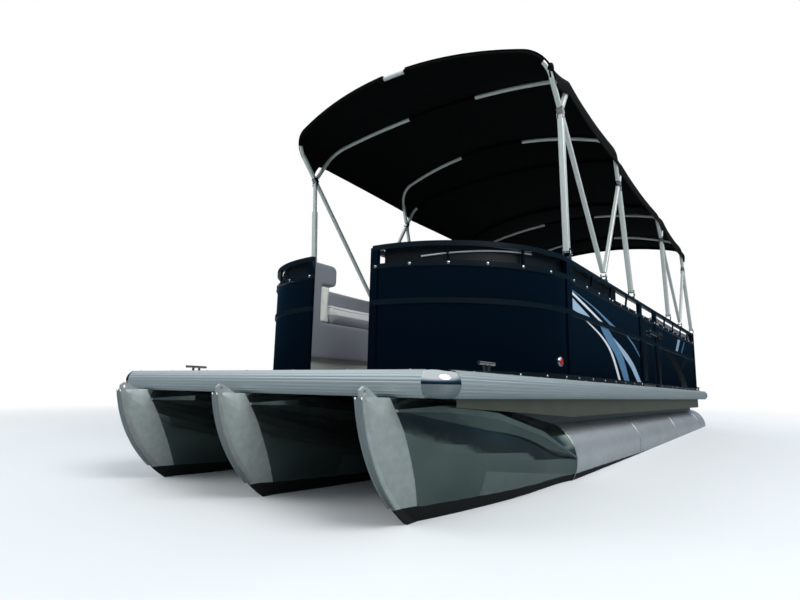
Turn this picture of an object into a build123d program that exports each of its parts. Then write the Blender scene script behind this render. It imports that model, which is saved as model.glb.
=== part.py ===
from build123d import *
from math import asin, atan2, cos, degrees, hypot, pi, radians, sin, sqrt
import os

# Three-tube pontoon boat, in millimetres. X runs forward, Y to port, Z up.
# The origin is on the keel of the centre tube, amidships, where the boat stands.

os.makedirs("parts", exist_ok=True)

# Driving sizes: hull
deck_length = 7500
beam = 2500
tube_radius = 240
tube_edge_inset = 75
keel_height = 30
keel_thick = 14
stem_width = 36
stem_sweep = 766
nose_length = 1905
nose_overhang = 155
tube_aft_overhang = 200
centre_tube_inset = 110

# Driving sizes: deck and its edge
deck_top = 780
deck_thick = 20
rail_height = 118
rail_bulge = 38
rail_rib_count = 9
rail_rib_bulge = 1.6
corner_radius = 120
channel_width = 50
channel_wall = 5
channel_pitch = 600
channel_end_inset = 125
skirt_drop = 110
skirt_front_drop = 36
skirt_taper = 1450
skirt_aft_gap = 560
skirt_wall = 3
skirt_lip = 22
skirt_inset = 17
riser_wall = 6
riser_half_gap = 75
riser_flange = 45
well_half_width = 370
well_depth = 470

# Driving sizes: fence
fence_height = 804
fence_depth = 32
fence_front_inset = 733
fence_aft_inset = 550
fence_side_inset = 58
bow_radius = 930
post_width = 40
rail_tube = 32
sill_height = 35
second_rail_drop = 121
mid_rail_drop = 346
skin_thick = 4
skin_recess = 9
strut_thick = 12
strut_lean = 45
strut_pitch = 520

# Driving sizes: gates and their hinges
gate_gap = 6
gate_lift = 22
side_gate_x = 70
side_gate_width = 680
stern_gate_width = 606
hinge_offset = 8
hinge_radius = 7
hinge_pin_radius = 4
hinge_pin_clearance = 0.05
hinge_height = 60
hinge_lug = 8
hinge_rise = 0.3

# Driving sizes: seats
lounge_gap = 20
lounge_post_gap = 20
lounge_front_gap = 66
lounge_length = 2150
plinth_height = 120
plinth_inset = 40
base_height = 375
cushion_thick = 130
back_thick = 125
back_top = 798
shell_depth = 115
head_overhang = 100
head_low = 640
head_top = 795
seat_clear = 0.4
bench_depth = 590
stern_bench_gap = 134
port_bench_front = -1000

# Driving sizes: helm
console_x = 250
console_length = 520
console_width = 665
console_side_gap = 25
console_height = 860
console_dash = 620
screen_height = 300
screen_thick = 6
screen_rake = 60
screen_sink = 42
wheel_radius = 170
wheel_rim = 14
wheel_stand = 90
wheel_hub_gap = 0.4
wheel_hub_radius = 42
chair_x = -880
chair_seat_height = 400
chair_width = 500
chair_depth = 460
chair_cushion = 130
chair_back_height = 480
chair_back_thick = 110
pedestal_radius = 45
running_gap = 0.3

# Driving sizes: folding tops
bow_tube = 16
bow_edge_share = 0.45
bow_bend = 215
bow_crown = 3240
canvas_thick = 6
canvas_gap = 0.8
canvas_hem = 70
pole_half = 21
pole_slim_half = 15
pole_slim_port = 0.06
pole_slim_starboard = 0.3
fitting_half = 32
fitting_width = 48
foot_height = 70
foot_half = 40

# Driving sizes: outboard motor
transom_height = 610
transom_thick = 60
pod_half_width = 150
pod_low = 70
tilt_rest = 62
pivot_back = 80
pivot_rise = 30
swivel_back = 80
swivel_radius = 42
kingpin_radius = 20
tilt_tube_radius = 14
pin_clearance = 0.05
bracket_half = 105
bracket_plate = 20
cowl_rise = 150
leg_drop = 600
shaft_drop = 730
skeg_drop = 930
gearcase_radius = 52
gearcase_length = 430
prop_radius = 178
prop_hub_radius = 48
prop_hub_length = 115
prop_shaft_radius = 12
blade_count = 3
blade_thick = 7

# Driving sizes: ladder, cleats and lamps
ladder_width = 340
ladder_length = 500
ladder_tube = 13
ladder_side_inset = 430
ladder_rise = 20
ladder_stand = 25
rung_count = 3
cleat_length = 160
cleat_side_inset = 85
cleat_front_inset = 510
cleat_aft_inset = 230
cleat_height = 48
lamp_radius = 22
lamp_depth = 14
lamp_height = 110
lamp_angle = 80
mast_height = 260
mast_radius = 9
globe_radius = 24
globe_height = 60

# Places that follow from the driving sizes
front_x = deck_length / 2
aft_x = -deck_length / 2
tube_z = keel_height + tube_radius
deck_under = deck_top - deck_thick
rail_under = deck_top - rail_height
side_y = beam / 2
deck_half = side_y - rail_bulge
stem_tip_x = front_x + nose_overhang
stem_top_z = rail_under - 1
nose_seam_x = stem_tip_x - nose_length
stem_centre_x = stem_tip_x - sqrt(stem_sweep**2 - (stem_sweep - stem_top_z) ** 2)
tube_aft_x = aft_x - tube_aft_overhang
centre_aft_x = aft_x + centre_tube_inset
fence_x = front_x - fence_front_inset
fence_aft_x = aft_x + fence_aft_inset
fence_y = side_y - fence_side_inset
fence_top = deck_top + fence_height
second_top = fence_top - second_rail_drop
mid_top = fence_top - mid_rail_drop
sill_top = deck_top + sill_height
arc_x = fence_x - bow_radius
arc_y = fence_y - bow_radius
gate_half_width = arc_y
lounge_inboard = gate_half_width + post_width + lounge_post_gap
side_gate_aft = side_gate_x - side_gate_width
stern_gate_low = -fence_y + fence_depth + post_width
stern_gate_high = stern_gate_low + stern_gate_width
stern_bench_starboard = stern_gate_high + stern_bench_gap
console_outboard = -fence_y + fence_depth + console_side_gap
console_inboard = console_outboard + console_width
helm_y = (console_inboard + console_outboard) / 2
chair_y = helm_y
bow_half_span = fence_y - fence_depth / 2
ladder_y = -side_y + ladder_side_inset
tube_spacing = side_y - tube_edge_inset - tube_radius

toon_places = [("port", tube_spacing), ("centre", 0), ("starboard", -tube_spacing)]


def save(piece, name):
    piece.label = name
    export_step(piece, "parts/" + name + ".step")


def box_between(low, high, mode=Mode.ADD):
    size = [b - a for a, b in zip(low, high)]
    middle = [(a + b) / 2 for a, b in zip(low, high)]
    with Locations(tuple(middle)):
        Box(*size, mode=mode)


def keel_line(x):
    # Height of the plating's lower edge: flat aft, then the stem's sweep
    inner = stem_sweep - keel_height
    reach = max(0, x - stem_centre_x)
    return stem_sweep - sqrt(inner**2 - reach**2)


# Nose sections of a tube. Columns: share of the nose's length, half width and flat top as shares of the
# tube's radius, top as a share of the stem's height, widest height as a share of that top, fullness
flat_share = 0.25
seam_top = tube_z + tube_radius * sqrt(1 - flat_share**2)
nose_shape = [
    (0, 1, flat_share, seam_top / stem_top_z, tube_z / seam_top, 1.0),
    (0.294, 0.93, 0.44, 0.862, 0.570, 0.75),
    (0.602, 0.69, 0.45, 0.956, 0.633, 0.45),
    (0.799, 0.42, 0.325, 0.991, 0.725, 0.25),
    (0.924, 0.21, 0.175, 1, 0.847, 0.12),
    (0.978, 0.04, 0.03, 1, 0.982, 0.05),
]
nose_sections = [
    (
        nose_seam_x + place * nose_length,
        half * tube_radius,
        flat * tube_radius,
        top * stem_top_z,
        widest * top * stem_top_z,
        full,
    )
    for place, half, flat, top, widest, full in nose_shape
]


def bulged(start, end, bow):
    # Middle point of a side that swells outwards by a share of its length
    length = hypot(end[0] - start[0], end[1] - start[1])
    out_y = (end[1] - start[1]) / length
    out_z = (start[0] - end[0]) / length
    return ((start[0] + end[0]) / 2 + out_y * bow * length, (start[1] + end[1]) / 2 + out_z * bow * length)


quarter_bow = (sqrt(2) - 1) / 2
side_bow = 0.08

# Spray fins on both sides of each nose. Columns: share of the nose's length, root half width and edge half
# width as shares of the tube's radius, root height and edge height as shares of the stem's height, lip depth
fin_shape = [
    (0.908, 0.125, 0.275, 0.902, 0.926, 10),
    (0.790, 0.292, 0.750, 0.841, 0.956, 30),
    (0.575, 0.583, 0.925, 0.744, 0.896, 30),
    (0.297, 0.771, 1.013, 0.605, 0.729, 30),
    (0.010, 0.854, 1.038, 0.431, 0.454, 10),
]
fin_sections = [
    (
        nose_seam_x + place * nose_length,
        root * tube_radius,
        root_z * stem_top_z,
        edge * tube_radius,
        edge_z * stem_top_z,
        lip,
    )
    for place, root, edge, root_z, edge_z, lip in fin_shape
]
fin_thick = 5


def make_toon(aft_end):
    with BuildPart() as toon:
        with BuildSketch(Plane.YZ.offset(aft_end)):
            with Locations((0, tube_z)):
                Circle(tube_radius)
        extrude(amount=nose_seam_x - aft_end)
        chamfer(toon.faces().sort_by(Axis.X)[0].edges(), 12)
        for x, half, flat, top, widest, full in nose_sections:
            bottom = (0, keel_line(x))
            side = (half, widest)
            corner = (flat, top)
            low_mid = bulged(bottom, side, quarter_bow * full)
            if full == 1:
                angle = (asin((top - tube_z) / tube_radius)) / 2
                high_mid = (tube_radius * cos(angle), tube_z + tube_radius * sin(angle))
            else:
                high_mid = bulged(side, corner, side_bow * full)
            with BuildSketch(Plane.YZ.offset(x)):
                with BuildLine():
                    ThreePointArc(bottom, low_mid, side)
                    ThreePointArc(side, high_mid, corner)
                    Line(corner, (-flat, top))
                    ThreePointArc((-flat, top), (-high_mid[0], high_mid[1]), (-half, widest))
                    ThreePointArc((-half, widest), (-low_mid[0], low_mid[1]), bottom)
                make_face()
        loft()
        # Stem flange and keel strip in one flat bar
        with BuildSketch(Plane.XZ):
            with BuildLine():
                Line((aft_end + 40, 0), (stem_centre_x, 0))
                start_angle = -90
                end_angle = degrees(atan2(stem_top_z - stem_sweep, stem_tip_x - stem_centre_x))
                sweep_angle = end_angle - start_angle
                outer = CenterArc((stem_centre_x, stem_sweep), stem_sweep, start_angle, sweep_angle)
                inner_radius = stem_sweep - stem_width
                inner_top = stem_centre_x + sqrt(inner_radius**2 - (stem_sweep - stem_top_z) ** 2)
                Line(outer @ 1, (inner_top, stem_top_z))
                inner_angle = degrees(atan2(stem_top_z - stem_sweep, inner_top - stem_centre_x))
                CenterArc((stem_centre_x, stem_sweep), inner_radius, inner_angle, start_angle - inner_angle)
                Line((stem_centre_x, stem_width), (aft_end + 40, stem_width))
                Line((aft_end + 40, stem_width), (aft_end + 40, 0))
            make_face()
        extrude(amount=keel_thick / 2, both=True)
        # Bow eye: a gusset on the nose with a round hole
        with BuildSketch(Plane.XZ):
            with BuildLine():
                Polyline(
                    (stem_tip_x - 6, stem_top_z - 30),
                    (stem_tip_x - 6, stem_top_z + 28),
                    (stem_tip_x - 26, stem_top_z + 44),
                    (stem_tip_x - 52, stem_top_z + 38),
                    (stem_tip_x - 120, stem_top_z - 2),
                    (stem_tip_x - 120, stem_top_z - 30),
                    close=True,
                )
            make_face()
            with Locations((stem_tip_x - 32, stem_top_z + 20)):
                Circle(10, mode=Mode.SUBTRACT)
        extrude(amount=keel_thick / 2, both=True)
        for side in (1, -1):
            for x, root_y, root_z, edge_y, edge_z, tall in fin_sections:
                with BuildSketch(Plane.YZ.offset(x)):
                    with BuildLine():
                        Polyline(
                            (side * root_y, root_z),
                            (side * (edge_y - fin_thick), edge_z - fin_thick),
                            (side * (edge_y - fin_thick), edge_z - tall),
                            (side * edge_y, edge_z - tall),
                            (side * edge_y, edge_z),
                            (side * (edge_y - fin_thick), edge_z + 1),
                            (side * root_y, root_z + fin_thick + 3),
                            close=True,
                        )
                    make_face()
            loft(ruled=True)
    return toon.part


toon_side = make_toon(tube_aft_x)
toon_middle = make_toon(centre_aft_x)
toons = []
for place, y in toon_places:
    source = toon_middle if y == 0 else toon_side
    shifted = source.moved(Location((0, y, 0)))
    toons.append(shifted)
    save(shifted, "toon_" + place)

# Motor pod: a boxed transom on the end of the centre tube
with BuildPart() as pod:
    with BuildSketch(Plane.XZ):
        with BuildLine():
            Polyline(
                (centre_aft_x, pod_low),
                (centre_aft_x, transom_height),
                (centre_aft_x - transom_thick, transom_height),
                (centre_aft_x - transom_thick, pod_low + transom_thick),
                close=True,
            )
        make_face()
    extrude(amount=pod_half_width, both=True)
save(pod.part, "motor_pod")

# Risers: two long webs on each tube, cut to its top, with an outward flange under the channels
riser_front = front_x - 330
with BuildPart() as risers:
    for place, y in toon_places:
        riser_aft = (centre_aft_x if y == 0 else aft_x) + 60
        for side in (1, -1):
            web = y + side * riser_half_gap
            box_between(
                (riser_aft, min(web, web + side * riser_wall), tube_z + tube_radius - 40),
                (riser_front, max(web, web + side * riser_wall), rail_under),
            )
            tip = web + side * riser_flange
            box_between(
                (riser_aft, min(web, tip), rail_under - riser_wall),
                (riser_front, max(web, tip), rail_under),
            )
    for solid in toons:
        add(solid, mode=Mode.SUBTRACT)
save(risers.part, "risers")

# Cross channels: open C sections from edge to edge under the deck, cut away round the motor well
channel_reach = deck_length - 2 * channel_end_inset - channel_width
channel_count = int(channel_reach // channel_pitch) + 1
well_front = aft_x + well_depth
with BuildPart() as channels:
    for index in range(channel_count):
        x = aft_x + channel_end_inset + index * channel_reach / (channel_count - 1)
        spans = [(-deck_half + 1, deck_half - 1)]
        if x < well_front + 30:
            spans = [(-deck_half + 1, -well_half_width - 30), (well_half_width + 30, deck_half - 1)]
        for low, high in spans:
            with BuildSketch(Plane.XZ.offset(-high)):
                with BuildLine():
                    Polyline(
                        (x, rail_under),
                        (x + channel_width, rail_under),
                        (x + channel_width, rail_under + channel_wall),
                        (x + channel_wall, rail_under + channel_wall),
                        (x + channel_wall, deck_under - channel_wall),
                        (x + channel_width, deck_under - channel_wall),
                        (x + channel_width, deck_under),
                        (x, deck_under),
                        close=True,
                    )
                make_face()
            extrude(amount=high - low)
save(channels.part, "cross_channels")

# Deck board with round front corners and a well for the motor
with BuildPart() as deck:
    with BuildSketch(Plane.XY.offset(deck_under)):
        with Locations(((front_x - rail_bulge + aft_x) / 2, 0)):
            Rectangle(deck_length - rail_bulge, 2 * deck_half)
        fillet(vertices().group_by(Axis.X)[-1], corner_radius - rail_bulge)
        with Locations((aft_x + well_depth / 2, 0)):
            Rectangle(well_depth, 2 * well_half_width, mode=Mode.SUBTRACT)
    extrude(amount=deck_thick)
save(deck.part, "deck")

# Edge rail: a ribbed half-round section with a flat back
round_half = rail_height / 2
round_radius = (round_half**2 + rail_bulge**2) / (2 * rail_bulge)
round_angle = degrees(asin(round_half / round_radius))
round_depth = round_radius - rail_bulge


def round_point(angle, swell=0):
    # Point on the half-round face: distance out from the flat back, and height
    reach = round_radius + swell
    return (reach * cos(radians(angle)) - round_depth, rail_under + round_half + reach * sin(radians(angle)))


def rail_profile(ribbed, place, turn):
    # Draws the section with its back at place; turn is 1 or -1
    steps = rail_rib_count if ribbed else 1
    swell = rail_rib_bulge if ribbed else 0
    for step in range(steps):
        low = -round_angle + 2 * round_angle * step / steps
        high = -round_angle + 2 * round_angle * (step + 1) / steps
        points = [round_point(low), round_point((low + high) / 2, swell), round_point(high)]
        ThreePointArc(*[(place + turn * out, z) for out, z in points])
    top = round_point(round_angle)
    bottom = round_point(-round_angle)
    Line((place + turn * top[0], top[1]), (place + turn * bottom[0], bottom[1]))


with BuildPart() as deck_rail:
    for side in (1, -1):
        with BuildSketch(Plane.YZ.offset(aft_x)):
            with BuildLine():
                rail_profile(True, side * deck_half, side)
            make_face()
        extrude(amount=deck_length - corner_radius)
    with BuildSketch(Plane.XZ.offset(-(side_y - corner_radius))):
        with BuildLine():
            rail_profile(True, front_x - rail_bulge, 1)
        make_face()
    extrude(amount=2 * (side_y - corner_radius))
    for side in (1, -1):
        low_y = min(side * (well_half_width + 2), side * deck_half)
        high_y = max(side * (well_half_width + 2), side * deck_half)
        box_between((aft_x - 4, low_y, rail_under), (aft_x, high_y, deck_top))
save(deck_rail.part, "deck_rail")

# Corner castings turn the half-round section round the bow corners
with BuildPart() as corner_caps:
    for side in (1, -1):
        with BuildSketch(Plane.XZ.offset(-side * (side_y - corner_radius))):
            with BuildLine():
                rail_profile(False, front_x - rail_bulge, 1)
            make_face()
        axis = Axis((front_x - corner_radius, side * (side_y - corner_radius), 0), (0, 0, side))
        revolve(axis=axis, revolution_arc=90)
save(corner_caps.part, "corner_caps")

# Side skirts hang under the rail, turn inwards at the foot and grow shallow towards the bow
skirt_aft_x = aft_x + skirt_aft_gap
skirt_front_x = front_x - 1.5 * corner_radius
skirt_y = side_y - rail_bulge - skirt_inset
skirt_low = rail_under - skirt_drop
with BuildPart() as skirts:
    for side in (1, -1):
        outer = side * skirt_y
        wall = side * (skirt_y - skirt_wall)
        lip = side * (skirt_y - skirt_lip)
        with BuildSketch(Plane.YZ.offset(skirt_aft_x)):
            with BuildLine():
                Polyline(
                    (outer, rail_under),
                    (outer, skirt_low),
                    (lip, skirt_low),
                    (lip, skirt_low + skirt_wall),
                    (wall, skirt_low + skirt_wall),
                    (wall, rail_under - skirt_wall),
                    (lip, rail_under - skirt_wall),
                    (lip, rail_under),
                    close=True,
                )
            make_face()
        extrude(amount=skirt_front_x - skirt_aft_x)
    with BuildSketch(Plane.XZ.offset(-side_y)):
        with BuildLine():
            Polyline(
                (skirt_front_x - skirt_taper, skirt_low),
                (skirt_front_x, rail_under - skirt_front_drop),
                (skirt_front_x + skirt_wall, skirt_low),
                (skirt_front_x + skirt_wall, skirt_low - skirt_wall),
                (skirt_front_x - skirt_taper, skirt_low - skirt_wall),
                close=True,
            )
        make_face()
    extrude(amount=beam, mode=Mode.SUBTRACT)
save(skirts.part, "side_skirts")

# Fence levels: low and high edge of each rail
rail_levels = {
    "sill": (deck_top, sill_top),
    "mid": (mid_top - rail_tube, mid_top),
    "second": (second_top - rail_tube, second_top),
    "top": (fence_top - rail_tube, fence_top),
}
skin_levels = [(sill_top, mid_top - rail_tube), (mid_top, second_top - rail_tube)]
slot_low = second_top
slot_high = fence_top - rail_tube
fence_in = fence_y - fence_depth
skin_out = fence_y - skin_recess


def arc_wall(side, outer, inner, low, high, first=0, last=90):
    # Part of the bow corner's ring, from the gate post round to the side
    with BuildSketch(Plane.XY.offset(low)) as ring:
        with BuildLine():
            centre = (arc_x, side * arc_y)
            far = CenterArc(centre, outer, side * first, side * (last - first))
            near = CenterArc(centre, inner, side * last, side * (first - last))
            Line(far @ 1, near @ 0)
            Line(near @ 1, far @ 0)
        make_face()
    extrude(ring.sketch, amount=high - low)


def slot_strut(x, y_low, y_high, lean):
    # Short leaning strut between the second rail and the top rail
    low_y, high_y = min(y_low, y_high), max(y_low, y_high)
    with BuildSketch(Plane.XZ.offset(-high_y)) as strut:
        with BuildLine():
            Polyline(
                (x, slot_low),
                (x + strut_thick, slot_low),
                (x + strut_thick + lean, slot_high),
                (x + lean, slot_high),
                close=True,
            )
        make_face()
    extrude(strut.sketch, amount=high_y - low_y)


arc_outer = bow_radius
arc_inner = bow_radius - fence_depth
skin_outer = bow_radius - skin_recess
skin_inner = skin_outer - skin_thick
post_start = degrees(asin((gate_half_width + post_width - arc_y) / arc_outer))
strut_angles = (30, 60)
for place, side in (("port", 1), ("starboard", -1)):
    with BuildPart() as fence_bow:
        for low, high in rail_levels.values():
            arc_wall(side, arc_outer, arc_inner, low, high, last=88)
        for low, high in skin_levels:
            arc_wall(side, skin_outer, skin_inner, low, high, last=88)
        arc_wall(side, arc_outer, arc_inner, deck_top, fence_top, last=post_start)
        arc_wall(side, arc_outer, arc_inner, deck_top, fence_top, first=86.8, last=89.8)
        for angle in strut_angles:
            arc_wall(side, arc_outer - 8, arc_inner + 8, slot_low, slot_high, first=angle, last=angle + 0.9)
    save(fence_bow.part, "fence_bow_" + place)


def straight_fence(start, end, y_out, y_in, skin_y_out, skin_y_in):
    # Side fence between two places along X
    low_y, high_y = min(y_out, y_in), max(y_out, y_in)
    skin_low, skin_high = min(skin_y_out, skin_y_in), max(skin_y_out, skin_y_in)
    for low, high in rail_levels.values():
        box_between((end, low_y, low), (start, high_y, high))
    for x in (start - post_width, end):
        box_between((x, low_y, deck_top), (x + post_width, high_y, fence_top))
    for low, high in skin_levels:
        box_between((end, skin_low, low), (start, skin_high, high))
    count = int((start - end) // strut_pitch)
    for index in range(count):
        x = end + (index + 1) * (start - end) / (count + 1)
        slot_strut(x, y_out - 8 * (1 if y_out > 0 else -1), y_in + 8 * (1 if y_out > 0 else -1), -strut_lean)


side_fences = [
    ("fence_side_port", 1, [(arc_x - 0.5, side_gate_x), (side_gate_aft, fence_aft_x)]),
    ("fence_side_starboard", -1, [(arc_x - 0.5, fence_aft_x)]),
]
for name, side, spans in side_fences:
    with BuildPart() as fence_side:
        for start, end in spans:
            outer, inner = side * fence_y, side * fence_in
            straight_fence(start, end, outer, inner, side * skin_out, side * (skin_out - skin_thick))
    save(fence_side.part, name)

# Stern fence across the aft edge of the cockpit, open for its gate on the starboard side
stern_out = fence_aft_x
stern_in = fence_aft_x + fence_depth
with BuildPart() as fence_stern:
    for low_y, high_y in ((stern_gate_high, fence_in - 0.3), (-fence_in + 0.3, stern_gate_low)):
        for low, high in rail_levels.values():
            box_between((stern_out, low_y, low), (stern_in, high_y, high))
        posts = [low_y]
        if high_y - low_y > 2 * post_width:
            posts.append(high_y - post_width)
        for y in posts:
            box_between((stern_out, y, deck_top), (stern_in, min(y + post_width, high_y), fence_top))
        for low, high in skin_levels:
            skin_x = stern_out + skin_recess
            box_between((skin_x, low_y, low), (skin_x + skin_thick, high_y, high))
save(fence_stern.part, "fence_stern")

# Gates: a framed leaf of the fence's own section, with barrels on its hinge side
# Columns: name, hinge axis, direction along the leaf, direction out of the leaf, width
gate_low = deck_top + gate_lift
gate_high = fence_top
bow_gate_axis = (fence_x - fence_depth - hinge_offset, gate_half_width - gate_gap)
side_gate_axis = (side_gate_x - gate_gap, fence_in - hinge_offset)
stern_gate_axis = (stern_in + hinge_offset, stern_gate_low + gate_gap)
gates = [
    ("gate_bow", bow_gate_axis, (-1, 0), (0, -1), 2 * gate_half_width - 2 * gate_gap),
    ("gate_side", side_gate_axis, (-1, 0), (0, 1), side_gate_width - 2 * gate_gap),
    ("gate_stern", stern_gate_axis, (0, 1), (-1, 0), stern_gate_width - 2 * gate_gap),
]
hinge_levels = (gate_low + 90, gate_high - 90 - hinge_height)


def leaf_box(axis, along, out, low, high):
    # Box in a leaf's own directions: along the leaf, out of it, and up
    corner_a = [axis[i] + along[i] * low[0] + out[i] * low[1] for i in range(2)]
    corner_b = [axis[i] + along[i] * high[0] + out[i] * high[1] for i in range(2)]
    low_corner = [min(a, b) for a, b in zip(corner_a, corner_b)] + [low[2]]
    high_corner = [max(a, b) for a, b in zip(corner_a, corner_b)] + [high[2]]
    box_between(low_corner, high_corner)


for name, axis, along, out, width in gates:
    near = hinge_offset
    far = hinge_offset + fence_depth
    with BuildPart() as gate:
        bars = [(gate_low, gate_low + sill_height)] + [rail_levels[key] for key in ("mid", "second", "top")]
        for low, high in bars:
            leaf_box(axis, along, out, (0, near, low), (width, far, high))
        for start in (0, width - post_width):
            leaf_box(axis, along, out, (start, near, gate_low), (start + post_width, far, gate_high))
        skin_far = far - skin_recess
        for low, high in ((gate_low + sill_height, mid_top - rail_tube), skin_levels[1]):
            leaf_box(axis, along, out, (0, skin_far - skin_thick, low), (width, skin_far, high))
        for level in hinge_levels:
            with Locations((axis[0], axis[1], level + hinge_height / 2)):
                Cylinder(hinge_radius, hinge_height)
            leaf_box(axis, along, out, (0, 0, level), (post_width, near, level + hinge_height))
        for level in hinge_levels:
            with Locations((axis[0], axis[1], level + hinge_height / 2)):
                Cylinder(hinge_pin_radius + hinge_pin_clearance, hinge_height, mode=Mode.SUBTRACT)
    save(gate.part, name)

# Fixed halves of the hinges: a plate on the post, a lug under each barrel and a pin through it
with BuildPart() as hinge_posts:
    for name, axis, along, out, width in gates:
        back = (-along[0], -along[1])
        if name == "gate_bow":
            along_post, out_post = (0, 1), (1, 0)
        else:
            along_post, out_post = back, out
        for level in hinge_levels:
            lug_low = level - hinge_rise - hinge_lug
            lug_high = lug_low + hinge_lug
            lug_far = (gate_gap + post_width / 2, hinge_offset - 0.4, lug_high)
            leaf_box(axis, along_post, out_post, (0, -hinge_radius, lug_low), lug_far)
            with Locations((axis[0], axis[1], (lug_low + lug_high) / 2)):
                Cylinder(hinge_radius, hinge_lug)
            with Locations((axis[0], axis[1], lug_high + hinge_height / 2)):
                Cylinder(hinge_pin_radius, hinge_height)


def plan_outline(inboard, radius, out_y, front, aft):
    # Seat plan beside the bow corner: straight inboard and aft edges, round outboard front
    far_x = arc_x + sqrt(radius**2 - (inboard - arc_y) ** 2)
    if front < far_x:
        corner_y = arc_y + sqrt(radius**2 - (front - arc_x) ** 2)
        Line((aft, inboard), (front, inboard))
        Line((front, inboard), (front, corner_y))
        start = (front, corner_y)
    else:
        Line((aft, inboard), (far_x, inboard))
        start = (far_x, inboard)
    start_angle = atan2(start[1] - arc_y, start[0] - arc_x)
    mid_angle = (start_angle + pi / 2) / 2
    middle = (arc_x + radius * cos(mid_angle), arc_y + radius * sin(mid_angle))
    ThreePointArc(start, middle, (arc_x, out_y))
    Line((arc_x, out_y), (aft, out_y))
    Line((aft, out_y), (aft, inboard))


# Bow lounges: a moulded base with an upright forward end, a seat, a curved back and an end cushion
seat_radius = bow_radius - fence_depth - lounge_gap
seat_out = fence_y - fence_depth - lounge_gap
lounge_front = fence_x - lounge_front_gap
lounge_aft = lounge_front - lounge_length
shell_back = arc_x + sqrt(seat_radius**2 - (lounge_inboard - arc_y) ** 2) - shell_depth
base_top = deck_top + base_height
seat_low = base_top + seat_clear
seat_top = base_top + cushion_thick
back_high = deck_top + back_top
far_front = fence_x + 1

# Seat bases: a set-back plinth below, then the full width
base_layers = [
    (deck_top, deck_top + plinth_height, plinth_inset),
    (deck_top + plinth_height, base_top, 0),
]
with BuildPart() as bow_bases:
    for low, high, inset in base_layers:
        with BuildSketch(Plane.XY.offset(low)):
            with BuildLine():
                plan_outline(
                    lounge_inboard + inset,
                    seat_radius - inset,
                    seat_out - inset,
                    far_front,
                    lounge_aft + inset,
                )
            make_face()
        extrude(amount=high - low)
    with BuildSketch(Plane.XY.offset(base_top)):
        with BuildLine():
            plan_outline(lounge_inboard, seat_radius, seat_out, far_front, lounge_aft)
        make_face()
        with Locations(((shell_back + lounge_aft) / 2, 0)):
            Rectangle(shell_back - lounge_aft, 3 * beam, mode=Mode.SUBTRACT)
    extrude(amount=deck_top + head_top - base_top)
    overhang = shell_back - head_overhang
    with BuildSketch(Plane.XZ.offset(-lounge_inboard)):
        with Locations(((overhang + shell_back) / 2, deck_top + (head_low + head_top) / 2)):
            RectangleRounded(head_overhang * 2, head_top - head_low, 45)
        with Locations((shell_back + head_overhang, deck_top + head_low)):
            Rectangle(2 * head_overhang, 2 * head_top, mode=Mode.SUBTRACT)
    head_width = sqrt((seat_radius - back_thick) ** 2 - (overhang - arc_x) ** 2) + arc_y - lounge_inboard
    extrude(amount=-head_width + 6)
    mirror(about=Plane.XZ)
save(bow_bases.part, "bow_bases")

with BuildPart() as bow_seats:
    with BuildSketch(Plane.XY.offset(seat_low)):
        with BuildLine():
            plan_outline(
                lounge_inboard,
                seat_radius - back_thick - seat_clear,
                seat_out - back_thick - seat_clear,
                shell_back - seat_clear,
                lounge_aft,
            )
        make_face()
    extrude(amount=cushion_thick)
    fillet(bow_seats.edges().group_by(Axis.Z)[-1], 25)
    mirror(about=Plane.XZ)
save(bow_seats.part, "bow_seats")

back_start = degrees(atan2(sqrt(seat_radius**2 - (shell_back - arc_x) ** 2), shell_back - arc_x)) + 2
with BuildPart() as bow_backs:
    with BuildSketch(Plane.XY.offset(seat_low)):
        with BuildLine():
            outer = CenterArc((arc_x, arc_y), seat_radius, back_start, 90 - back_start)
            inner = CenterArc((arc_x, arc_y), seat_radius - back_thick, 90, back_start - 90)
            Polyline(outer @ 1, (lounge_aft, seat_out), (lounge_aft, seat_out - back_thick), inner @ 0)
            Line(inner @ 1, outer @ 0)
        make_face()
    extrude(amount=back_high - seat_low)
    fillet(bow_backs.edges().group_by(Axis.Z)[-1], 30)
    mirror(about=Plane.XZ)
save(bow_backs.part, "bow_backs")

# End cushion against the upright forward end, above the seat and under the head roll
end_low = seat_top + 2 * seat_clear
end_high = deck_top + head_low - seat_clear
end_width = head_width - back_thick
with BuildPart() as bow_ends:
    box_between(
        (shell_back - 0.9 * head_overhang, lounge_inboard, end_low),
        (shell_back - seat_clear, lounge_inboard + end_width, end_high),
    )
    mirror(about=Plane.XZ)
save(bow_ends.part, "bow_end_cushions")

# Stern bench: an L along the port side and across the stern
bench_aft = fence_aft_x + fence_depth + lounge_gap
bench_in = seat_out - bench_depth
bench_front = bench_aft + bench_depth
with BuildPart() as stern_base:
    for low, high, inset in base_layers:
        with BuildSketch(Plane.XY.offset(low)):
            with BuildLine():
                Polyline(
                    (bench_aft + inset, stern_bench_starboard + inset),
                    (bench_front - inset, stern_bench_starboard + inset),
                    (bench_front - inset, bench_in + inset),
                    (port_bench_front - inset, bench_in + inset),
                    (port_bench_front - inset, seat_out - inset),
                    (bench_aft + inset, seat_out - inset),
                    close=True,
                )
            make_face()
        extrude(amount=high - low)
save(stern_base.part, "stern_base")

cushion_out = seat_out - back_thick - seat_clear
with BuildPart() as stern_seats:
    box_between(
        (bench_aft + back_thick + seat_clear, stern_bench_starboard, seat_low),
        (bench_front, cushion_out, seat_top),
    )
    box_between((bench_front + seat_clear, bench_in, seat_low), (port_bench_front, cushion_out, seat_top))
    fillet(stern_seats.edges().group_by(Axis.Z)[-1], 25)
save(stern_seats.part, "stern_seats")

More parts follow.
